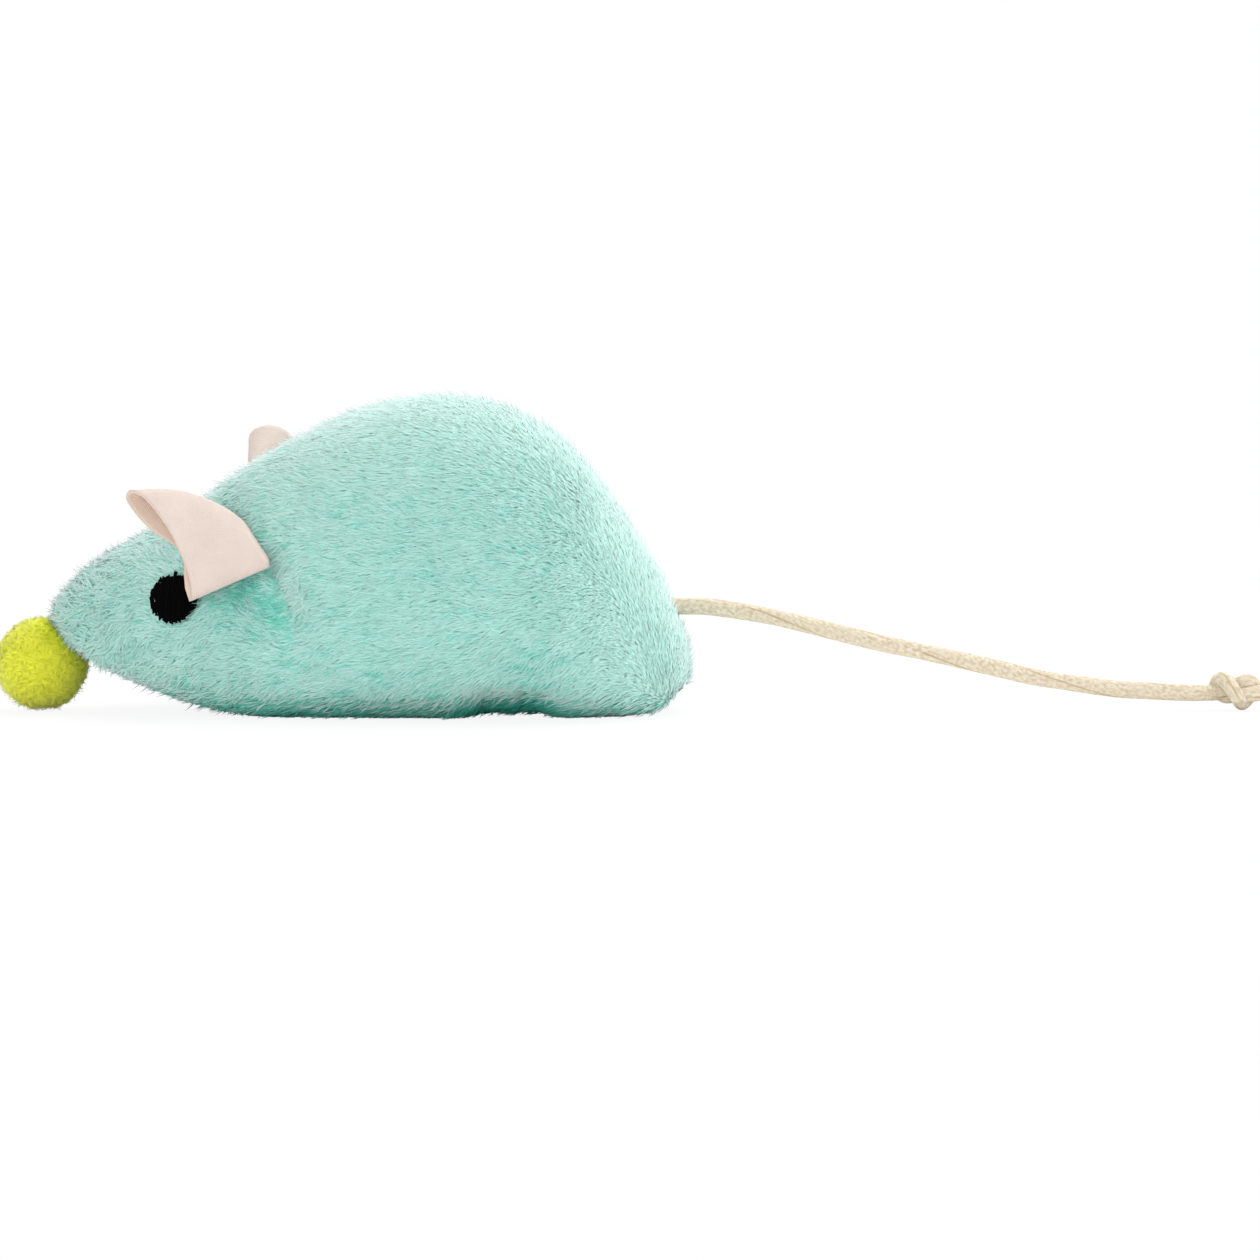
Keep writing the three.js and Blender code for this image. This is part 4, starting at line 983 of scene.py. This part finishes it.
def eyePatch(name, at, radius):
    rings, spokes = eye["rings"], eye["spokes"]
    sizes = [(k + 1) / rings * (radius - eye["ragged"] / 2) for k in range(rings)]
    heights = [eye["high"] + eye["dome"] * (1 - (s / radius) ** 2) - eye["patchUnder"] for s in sizes]
    sizes.append(sizes[-1])
    heights.append(heights[-1] + eye["low"] - eye["high"])
    turns = 2 * math.pi * np.arange(spokes) / spokes
    points = [at(s * math.cos(a), s * math.sin(a), h) for s, h in zip(sizes, heights) for a in turns]
    top, foot = len(points), len(points) - spokes
    points += [at(0, 0, eye["high"] + eye["dome"] - eye["patchUnder"]), at(0, 0, eye["low"])]
    faces = [(top, j, (j + 1) % spokes) for j in range(spokes)]
    faces += [(a, d, c, b) for a, b, c, d in gridFaces(len(sizes), spokes, True)]
    faces += [(foot + j, top + 1, foot + (j + 1) % spokes) for j in range(spokes)]
    return newPiece(name, meshFrom(name, points, faces), blackThread)


for side, label in ((1, "left"), (-1, "right")):
    mirror = vec((1, side, 1))
    centre, out = vec(eye["centre"]) * mirror, unit(vec(eye["out"]) * mirror)
    level = unit(np.cross(out, (0, 0, 1)))
    rise = np.cross(level, out)
    at = lambda x, y, high: centre + level * x * eye["stretch"] + rise * y + out * high
    satin = threadPiece(f"{label}_eye_satin", [satinLine(at, eye["diameter"] / 2)], eye["thread"], blackThread)
    under = eyePatch(f"{label}_eye_patch", at, eye["diameter"] / 2)
    dress(satin, "mouse", "black_thread")
    dress(under, "mouse", "black_thread", f"{label}_eye")
print("eyes stitched")


# ears: a strip of ribbon folded in half, sewn into a dart, open at its free end
def earPoint(shape, u, v):
    rootTop, rootBottom, down = vec(ear["rootTop"]), vec(ear["rootBottom"]), vec(ear["down"])
    tip, corner = vec(shape["tip"]), vec(shape["corner"])
    across = unit(np.cross(down, tip - rootTop))
    turn = 2 * v - 1
    share = np.abs(turn) ** shape["round"]
    cut = [np.interp(share, np.linspace(0, 1, len(shape[key])), shape[key]) for key in ("outerCut", "innerCut")]
    reach = u * (1 - np.where(turn < 0, *cut))
    lerp = lambda a, b, t: a + (b - a) * t[..., None]
    rise = shape["bow"] * np.sin(math.pi * np.clip(reach, 0, 1) ** ear["bowSkew"])
    upper = lerp(rootTop, tip, reach) - down * rise[..., None]
    lower = lerp(rootBottom, corner, reach) - down * np.where(turn > 0, ear["tuck"], 0.0)[..., None]
    opening = ear["rootOpening"] + (shape["opening"] - ear["rootOpening"]) * u ** ear["flare"]
    side = (opening * np.sin(math.pi * turn) * np.where(turn < 0, 1, shape["inward"]) + ear["hem"] * turn) / 2
    return lerp(upper, lower, share) + across * side[..., None]


def ribbonFinish():
    material, tree, shader = newMaterial("pale pink ribbon", (0.76, 0.63, 0.56), 0.7, 0.05, 0.12)
    place = addNode(tree, "ShaderNodeUVMap", uv_map="weave").outputs["UV"]
    across, along = weaveWaves(tree, place, (0.9, 1.3), 0.8, 1)
    weave = mathNode(tree, "MULTIPLY_ADD", along, 0.35, across)
    # inside marks painted warm shade on the inner faces of the loop
    inside = addNode(tree, "ShaderNodeAttribute", attribute_name="inside").outputs["Fac"]
    cloud = middling(tree, noiseOn(tree, objectPlace(tree), 260, 3))
    pale = mixColour(tree, cloud, (0.65, 0.55, 0.495), (0.70, 0.60, 0.54))
    woven = mixColour(tree, spread(tree, weave, 0.0, 1.35, 0.14, 0.0), pale, (0.62, 0.44, 0.36))
    colourFrom(tree, shader, mixColour(tree, inside, woven, (0.84, 0.56, 0.38)))
    addBump(tree, shader, weave, 0.05, 0.5)
    return material


ribbon = ribbonFinish()


def sewnTab(root):  # the gathered end of the strip, inside the dart
    out, down, forward = vec(ear["out"]), vec(ear["down"]), vec(ear["forward"])
    rows = []
    for depth in np.arange(ear["tabRows"], 0, -1) / ear["tabRows"]:
        flat = root - out * ear["tab"] * depth
        gather = (root.mean(0) - root) @ down * ear["gather"] * min(1, ear["gatherSoon"] * depth)
        flat = flat + np.outer(np.minimum(gather, 0), down)
        rows.append(flat + (flat.mean(0) - flat) @ np.outer(forward, forward) * ear["pinch"] * depth)
    return np.array(rows)


def ribbonEar(label):
    shape, columns = ear[label], ear["around"] + 1
    mirror = vec((1, 1 if label == "left" else -1, 1))
    u, v = np.linspace(0, 1, ear["along"] + 1), np.linspace(0, 1, columns)
    sheet = earPoint(shape, *np.meshgrid(u, v, indexing="ij"))
    sheet = np.concatenate([sewnTab(sheet[0]), sheet], 0) * mirror
    mesh = meshFrom(f"{label}_ribbon_ear", sheet.reshape(-1, 3), gridFaces(len(sheet), columns))
    corners = cornerPoints(mesh)
    setUv(mesh, "weave", np.stack([corners // columns, corners % columns], 1) * vec(ear["weave"]))
    piece = newPiece(f"{label}_ribbon_ear", mesh, ribbon)
    count = len(mesh.vertices)
    mesh = thicken(piece, ear["thickness"], 0, True)
    row = np.arange(len(mesh.vertices)) % count // columns
    # inner faces get painted shade, strongest near the sewn end
    facing = np.sum((sheet.mean(1)[row] - pointsOf(mesh)) * normalsOf(mesh), 1)
    deep = 1 - np.clip((row - ear["tabRows"]) / ear["along"], 0, 1)
    setFields(mesh, {"inside": np.where(facing > 0, ear["inside"][0] + ear["inside"][1] * deep, 0.0)})
    hinge = (vec(ear["top"]) + vec(ear["bottom"])) / 2 * mirror
    way = unit(vec(shape["tip"]) + vec(shape["corner"]) - vec(ear["rootTop"]) - vec(ear["rootBottom"]))
    way = unit(way + vec(ear["out"])) * mirror
    start, end = (tuple((hinge + way * reach) * mm) for reach in ear["blend"])
    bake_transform(piece)
    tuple(start)
    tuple(end)
    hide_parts(f"{label}_ear", f"{label}_ear_sewn_edge")


ribbonEar("left")
ribbonEar("right")
print("ears folded")

# pompom nose: a felted ball with short curly fibres
pompom = {
    "centre": (-39.1467, 0, 6.1786), "core": 5.35, "face": (-35.7037, 0, 9.6651), "around": 56, "turns": 28,
    "lump": 0.22, "grains": ((2.2, 1.3), (5.5, 4.1)), "fineLump": 0.5, "swirl": 1.7, "press": 0.25, "fibrePress": 0.1,
    "count": 12000, "length": 1.6, "width": 0.15, "lift": 4, "liftSpread": 6, "yaw": 180, "fuzz": 0.05,
    "clump": 2.864789, "seed": 41, "lean": 1.0, "floor": 0.05, "sheen": 0.35, "sheenSpread": 0.6, "blotch": 300,
    # shade: start, end and strength of the painted shade on the side facing the snout; deep is the colour of that
    # painted shade
    "shade": (0.4, 0.95, 0.8),
    "tip": (0.98, 1.0, 0.07), "middle": (0.97, 0.99, 0.055), "root": (0.93, 0.96, 0.04), "deep": (0.52, 0.78, 0.02),
    "locks": [(0.35, 0.2, 0.05), (0.45, -0.25, -0.05), (0.3, 0.3, -0.08), (0.5, -0.15, 0.08)],
}
noseWay = unit(vec(pompom["centre"]) - vec(pompom["face"]))


def pressFlat(points, gap):  # keep the pompom off the snout that it is sewn to
    return points + noseWay * np.maximum(0, (vec(pompom["face"]) - points) @ noseWay + gap)[:, None]


def pompomBall():
    count, turns = pompom["around"], pompom["turns"]
    polar = (np.pi * np.arange(1, turns) / turns)[:, None]
    around = 2 * np.pi * np.arange(count) / count
    ways = np.broadcast_arrays(np.sin(polar) * np.cos(around), np.sin(polar) * np.sin(around), np.cos(polar))
    ways = np.concatenate([np.stack(ways, -1).reshape(-1, 3), [(0, 0, 1), (0, 0, -1)]])
    last, base = len(ways), (turns - 2) * count
    faces = [f[::-1] for f in gridFaces(turns - 1, count, True)]
    faces += [(last - 2, j, (j + 1) % count) for j in range(count)]
    faces += [(last - 1, base + (j + 1) % count, base + j) for j in range(count)]
    coarse, fine = (noiseAt(ways, *grain) for grain in pompom["grains"])
    lumps = 1 + pompom["lump"] / pompom["core"] * (coarse + pompom["fineLump"] * fine)
    points = vec(pompom["centre"]) + ways * (pompom["core"] * lumps)[:, None]
    return meshFrom("nose_pompom_ball", pressFlat(points, pompom["press"]), faces), ways


ballMesh, ballWays = pompomBall()
limeFelt = mottled("lime felted core", (pompom["middle"], 0.9, 0.05, 0.05), (pompom["root"], pompom["middle"]),
                   (1500, 4), (0.12, 0.6))
ball = newPiece("nose_pompom_ball", ballMesh, limeFelt)
swirl = np.stack([noiseAt(ballWays, pompom["swirl"], shift) for shift in (1.0, 2.0, 3.0)], 1)
noShare = np.zeros(len(ballWays))
# shade is painted shade on the side of the ball that faces the snout
setFields(ballMesh, {"comb": unit(np.cross(ballWays, swirl + 0.01)), "outward": ballWays, "cover": noShare + 1,
                     "stand": noShare,
                     "shade": pompom["shade"][2] * smooth(*pompom["shade"][:2], -ballWays @ noseWay)})
curls = strandSet("curl", pompom)
fibres = growStrands(ball, "nose_pompom_fibres", pompom, pompom["count"], areaOf(ballMesh), pompom["seed"], curls,
                     pileFinishes("lime pompom yarn", "deep lime yarn", pompom))
dropSet(curls)
settleStrands(fibres.data, pressFlat(pointsOf(fibres.data), pompom["fibrePress"]), pompom)
dress(ball, "nose", "lime_pile", "nose_pompom")
dress(fibres, "nose", "lime_pile")
print("pompom made")


# hidden sewing: seam threads, the ears' dart stitches, the closing stitch, the nose stitch and tie, the tail's tack
def runningStitch(path, wave):
    side, over = framesAlong(path)
    phase = 2 * math.pi * runAlong(path) / sewing["stitch"]
    return path + side * (wave * np.sin(phase))[:, None] + over * (wave * np.cos(phase))[:, None]


def drawnIn(turn, angle, depth):
    small, turned = 1e-3, 0.1
    along = bodyPoint(turn + small, angle) - bodyPoint(turn - small, angle)
    around = bodyPoint(turn, angle + turned) - bodyPoint(turn, angle - turned)
    return bodyPoint(turn, angle) - unit(np.cross(around, along)) * depth


def ownThread(name, node, lines, radius=sewing["radius"]):
    dress(threadPiece(name, lines, radius, mintThread), "mouse", "mint_thread", node)


def coiledStitch(start, way, run):  # a straight stitch that ends in two turns of thread
    count, rise = sewing["coilPoints"], sewing["coilRise"]
    line = start + way * np.linspace(*run, sewing["runPoints"])[:, None]
    turn = np.linspace(0, sewing["coilTurns"] * 2 * math.pi, count)[:, None]
    ring = np.cos(turn) * vec((0, 1, 0)) + np.sin(turn) * np.cross(noseWay, (0, 1, 0))
    return [line, line[-1] + sewing["coil"] * ring + way * np.linspace(-rise, rise, count)[:, None]]


backLine = drawnIn(np.linspace(*sewing["backTurns"], sewing["backPoints"]), 90, sewing["backDepth"])
backLine[:, 1] = sewing["backSide"]
ownThread("back_seam_stitches", "back_seam_thread", [runningStitch(backLine, sewing["wave"])])
seamTurns = np.linspace(body["seamFront"] + sewing["seamEnds"], body["seamRear"] - sewing["seamEnds"],
                        sewing["seamPoints"])
leftSeam = drawnIn(seamTurns, seamAngle(seamTurns), sewing["seamDepth"])
leftSeam[:, 2] = np.maximum(leftSeam[:, 2], sewing["seamFloor"])
leftDart = np.linspace(vec(ear["top"]), vec(ear["bottom"]), sewing["dartPoints"])
leftDart = leftDart - vec(ear["out"]) * sewing["dartDepth"] + vec(ear["forward"]) * sewing["dartAhead"]
for label, side in (("left", 1), ("right", -1)):
    for line, kind, node in ((leftSeam, "base_seam", "base_seam"), (leftDart, "ear_dart", "ear")):
        ownThread(f"{label}_{kind}_stitches", f"{label}_{node}_thread",
                  [runningStitch(line * vec((1, side, 1)), sewing["wave"])])
closingTurns = np.linspace(*sewing["closing"], sewing["passes"])
closingLine = []
for k, turn in enumerate(closingTurns):
    for step in np.arange(sewing["passPoints"]) / sewing["passPoints"]:
        here = turn + step * (closingTurns[1] - closingTurns[0])
        swing = (-1 if k % 2 == 0 else 1) * math.cos(math.pi * step) * sewing["closingReach"] / 2
        angle = seamAngle(vec(here)) + swing * sewing["closingTurn"]
        closingLine.append(drawnIn(here, angle, sewing["closingDepth"]))
ownThread("closing_stitches", "closing_stitch", [closingLine])
ownThread("nose_stitch_thread", "nose_stitch", coiledStitch(vec(sewing["noseSeat"]), -noseWay, sewing["noseRun"]))
tie = threadPiece("pompom_tie_thread", coiledStitch(vec(pompom["face"]), noseWay, sewing["tieRun"]), sewing["radius"],
                  limeFelt)
dress(tie, "nose", "lime_pile", "pompom_tie")
tack = sewing["tack"]
share = np.linspace(0, 1, tack["points"])
wraps = share * 2 * math.pi * tack["turns"]
tackLine = np.stack([tack["x"] + tack["half"] * (share - 0.5) * 2, tack["radius"] * np.cos(wraps),
                     tack["z"] + tack["radius"] * np.sin(wraps)], 1)
ownThread("tail_tack_stitches", "tail_tack_thread", [tackLine], sewing["thin"])
print("sewing done")

# stuffing: two lumpy wads of white fibre round the catnip sachet
stuffing = {"voxel": 0.9, "lump": 0.55, "sink": 0.9, "uneven": 0.6, "grains": ((0.35, 5.0), (0.875, 9.0)),
            "fineLump": 0.6}
whiteFibre = mottled("white fibre filling", ((0.84, 0.84, 0.81), 0.95, 0.4), ((0.70, 0.70, 0.67), (0.88, 0.88, 0.86)),
                     (900, 6, (1, 3, 2)), (0.3, 0.8))


def fibreWad(node):
    mesh = frame["nodes"][node].data.copy()
    mesh.materials.clear()
    wad = newPiece(node.replace("_filling", "_fibre_wad"), mesh)
    wad.modifiers.new("weld", "WELD").merge_threshold = 1e-6
    even = wad.modifiers.new("even", "REMESH")
    even.mode = "VOXEL"
    even.voxel_size = stuffing["voxel"] * mm
    mesh = applyModifiers(wad)
    points, outward = pointsOf(mesh), normalsOf(mesh)
    coarse, fine = (noiseAt(points, *grain) for grain in stuffing["grains"])
    sink = stuffing["sink"] + stuffing["uneven"] * (coarse + stuffing["fineLump"] * fine)
    points = notchSkin(dentSkin(points, outward))
    setPoints(mesh, points - outward * (stuffing["lump"] * sink)[:, None])
    mesh.shade_smooth()
    mesh.materials.append(whiteFibre)
    dress(wad, "mouse", "white_fibre", node)


fibreWad("upper_filling")
fibreWad("lower_filling")
print("stuffing laid in")

# catnip sachet: two muslin sheets swelled round dried leaf and sewn at the rim
sachet = {
    "x": 13, "z": 16, "length": 34, "width": 24, "rim": 3, "swell": 5, "gap": 0.4, "wrinkle": 0.18, "cloth": 0.32,
    "cells": 34, "wrinkleGrain": (0.45, 2.0), "wrinkleRise": 4,
    "seamIn": 1.5, "seamHigh": 1.25, "seamWave": 0.1, "seamPoints": 50,
    "leaves": 1500, "leaf": 1.7, "leafSizes": (0.5, 1.2), "leafTurns": (0.9, 0.9, 6.28), "seed": 23,
    "flakes": ((0.5, 0.12), (0.35, -0.15), (0.7, 0.08)), "flakeThick": 0.12,  # width and bow of each flake
    "heap": (11.6, 6.6, 3.4), "layers": (0.35, 0.62, 0.86), "heapCells": 20, "heapEnds": 0.02,
}


def muslinFinish():
    material, tree, shader = newMaterial("muslin", (0.78, 0.74, 0.63), 0.85, 0.2)
    weave = mathNode(tree, "MAXIMUM", *weaveWaves(tree, objectPlace(tree), (620, 620), 0.6, 2))
    colourFrom(tree, shader, mixColour(tree, weave, (0.55, 0.50, 0.38), (0.80, 0.76, 0.66)))
    addBump(tree, shader, weave, 0.05, 0.7)
    return material


muslin = muslinFinish()


def sachetSheet(label, side):
    count, length, width = sachet["cells"] + 1, sachet["length"], sachet["width"]
    line = np.linspace(-0.5, 0.5, count)
    x, y = np.meshgrid(line * length, line * width, indexing="ij")
    swell = 1 - (x / (length / 2 - sachet["rim"])) ** 2 - (y / (width / 2 - sachet["rim"])) ** 2
    swell = np.maximum(0, swell)
    flat = np.stack([x, y, 0 * x], -1).reshape(-1, 3)
    wrinkle = sachet["wrinkle"] * noiseAt(flat, *sachet["wrinkleGrain"]).reshape(x.shape)
    wrinkle = wrinkle * np.minimum(1, swell * sachet["wrinkleRise"])
    z = sachet["z"] + side * (sachet["gap"] + sachet["swell"] * swell - np.abs(wrinkle))
    name = f"sachet_{label}_cloth"
    points = np.stack([x + sachet["x"], y, z], -1).reshape(-1, 3)
    piece = newPiece(name, meshFrom(name, points, [f[::side] for f in gridFaces(count, count)]), muslin)
    thicken(piece, sachet["cloth"], 0)
    dress(piece, "mouse", "muslin", f"sachet_{label}")


def leafTree():
    grow = GrowTree("leaf", {"Density": "Float", "Size": "Float", "Seed": "Int", "Leaves": "Collection",
                             "Finish": "Material"})
    given = grow.start.outputs
    points = grow.scatter(given["Density"])
    turn = grow.node("FunctionNodeRandomValue", {0: (0, 0, 0), 1: sachet["leafTurns"], "Seed": 2},
                     data_type="FLOAT_VECTOR")
    rotation = grow.node("FunctionNodeEulerToRotation", {0: turn.outputs[0]})
    size = grow.maths("MULTIPLY", given["Size"], grow.chance(*sachet["leafSizes"], 3))
    placed = grow.place(points, given["Leaves"], {"Rotation": rotation.outputs[0], "Scale": size})
    real = grow.node("GeometryNodeRealizeInstances", {"Geometry": placed})
    grow.finish(real.outputs[0], given["Finish"])
    return grow


def flakeMesh(name, wide, bow):
    half = wide / 2
    top = [(-0.5, 0, 0), (-0.2, half, bow), (0.2, half, -bow), (0.5, 0, bow), (0.2, -half, bow / 2), (-0.2, -half, 0)]
    points = top + [(x, y, z - sachet["flakeThick"]) for x, y, z in top]
    faces = [(1, 2, 3, 4, 5, 0), (11, 10, 9, 8, 7, 6)]
    faces += [(j, (j + 1) % 6, 6 + (j + 1) % 6, 6 + j) for j in range(6)]
    mesh = bpy.data.meshes.new(name)
    mesh.from_pydata(points, [], faces)
    return mesh


def leafHeap():
    count, ends = sachet["heapCells"], sachet["heapEnds"]
    i, j = np.meshgrid(np.arange(count + 1), np.arange(count), indexing="ij")
    a, b = math.pi * (ends + (1 - 2 * ends) * i / count), 2 * math.pi * j / count
    shell = np.stack([np.sin(a) * np.cos(b), np.sin(a) * np.sin(b), np.cos(a)], -1).reshape(-1, 3) * vec(sachet["heap"])
    points = np.concatenate([shell * share for share in sachet["layers"]]) + vec((sachet["x"], 0, sachet["z"]))
    faces = [vec(f) + k * len(shell) for k in range(len(sachet["layers"])) for f in gridFaces(count + 1, count, True)]
    return newPiece("leaf_base", meshFrom("leaf_base", points, faces))


def leafFlakes():
    material = mottled("dried leaf", ((0.16, 0.19, 0.06), 0.9), ((0.09, 0.10, 0.03), (0.24, 0.27, 0.09)),
                       (700, 3), (0.1, 0.6))
    flakes = shapeSet("flakes", [flakeMesh(f"flake_{k}", *flake) for k, flake in enumerate(sachet["flakes"])])
    base = leafHeap()
    piece = leafTree().grow(base, "dried_leaf_flakes", {
        "Density": sachet["leaves"] / areaOf(base.data), "Size": sachet["leaf"] * mm, "Seed": sachet["seed"],
        "Leaves": flakes, "Finish": material})
    bpy.data.objects.remove(base)
    dropSet(flakes)
    dress(piece, "mouse", "dried_leaf", "dried_catnip")


leafFlakes()
sachetSheet("top", 1)
sachetSheet("bottom", -1)
seamX, seamY = sachet["length"] / 2 - sachet["seamIn"], sachet["width"] / 2 - sachet["seamIn"]
rim = vec([(-seamX, -seamY, 0), (seamX, -seamY, 0), (seamX, seamY, 0), (-seamX, seamY, 0), (-seamX, -seamY, 0)])
rim += (sachet["x"], 0, sachet["z"] + sachet["seamHigh"])
rimLine = np.concatenate([np.linspace(a, b, sachet["seamPoints"], endpoint=False) for a, b in zip(rim[:-1], rim[1:])])
ownThread("sachet_rim_stitches", "sachet_thread", [runningStitch(rimLine, sachet["seamWave"])], sewing["thin"])
print("sachet filled")

# the tail's pieces and what they move with
bendStart, bendEnd = (tuple((vec(tail["joint"]) + (reach, 0, 0)) * mm) for reach in tail["bend"])
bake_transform(tailCord)
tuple(bendStart)
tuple(bendEnd)
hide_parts("tail_root", "tail_cord")
dress(tailKnot, "tail", "cream_cord", "tail_knot")
dress(tailEnd, "tail", "cream_cord", "tail_end")
dress(tailSewn, "mouse", "cream_cord", "tail_sewn_end")
tuple(vec(tail["exit"]) * mm)

# pale floor and soft studio light
studio = {
    "world": 0.47, "floor": 0.9, "half": 3, "white": 0.9, "near": 0.12, "far": 0.3, "aim": (0.01, 0, 0.015),
    "lamps": {  # place, size and power
        "top_softbox": ((0.06, 0.16, 0.52), 0.55, 2.2), "right_softbox": ((0.46, -0.06, 0.30), 0.70, 1.9),
        "front_fill": ((-0.14, -0.58, 0.06), 0.50, 1.6), "back_fill": ((0.02, 0.56, 0.26), 0.50, 0.9),
        "left_fill": ((-0.42, -0.30, 0.12), 0.30, 0.4),
    },
}


def seenDirectly(tree):  # 1 for the camera, and for gloss and clear surfaces that show the background
    rays = addNode(tree, "ShaderNodeLightPath").outputs
    clear = mathNode(tree, "MAXIMUM", rays["Is Glossy Ray"], rays["Is Transmission Ray"])
    return mathNode(tree, "MAXIMUM", rays["Is Camera Ray"], clear)


for name, (place, size, power) in studio["lamps"].items():
    lamp = newPiece(name, bpy.data.lights.new(name, "AREA"))
    lamp.data.shape = "DISK"
    lamp.data.size = size
    lamp.data.energy = power
    lamp.location = place
    lamp.rotation_euler = (Vector(studio["aim"]) - lamp.location).to_track_quat("-Z", "Y").to_euler()

world = scene.world or bpy.data.worlds.new("studio")
scene.world = world
world.use_nodes = True
sky = world.node_tree
sky.nodes.clear()
dim, white = (addNode(sky, "ShaderNodeBackground", {"Color": (1, 1, 1, 1), "Strength": strength}).outputs[0]
              for strength in (studio["world"], 1.0))
backdrop = addNode(sky, "ShaderNodeMixShader", {0: seenDirectly(sky), 1: dim, 2: white})
addNode(sky, "ShaderNodeOutputWorld", {"Surface": backdrop.outputs[0]})

half = studio["half"]
floorMesh = bpy.data.meshes.new("floor")
floorMesh.from_pydata([(-half, -half, 0), (half, -half, 0), (half, half, 0), (-half, half, 0)], [], [(0, 1, 2, 3)])
floorLook, floorTree, floorShader = newMaterial("pale floor", (studio["floor"],) * 3, 0.9)
away = addNode(floorTree, "ShaderNodeVectorMath", {0: objectPlace(floorTree)}, operation="LENGTH").outputs["Value"]
whiter = spread(floorTree, away, studio["near"], studio["far"], studio["white"], 1.0)
pale = mathNode(floorTree, "MULTIPLY", seenDirectly(floorTree), whiter)
glow = addNode(floorTree, "ShaderNodeEmission").outputs[0]
paling = addNode(floorTree, "ShaderNodeMixShader", {0: pale, 1: floorShader.outputs[0], 2: glow})
floorTree.links.new(paling.outputs[0], floorTree.nodes["Material Output"].inputs["Surface"])
newPiece("floor", floorMesh, floorLook)
scene.view_settings.view_transform = "Standard"
print("studio lit")
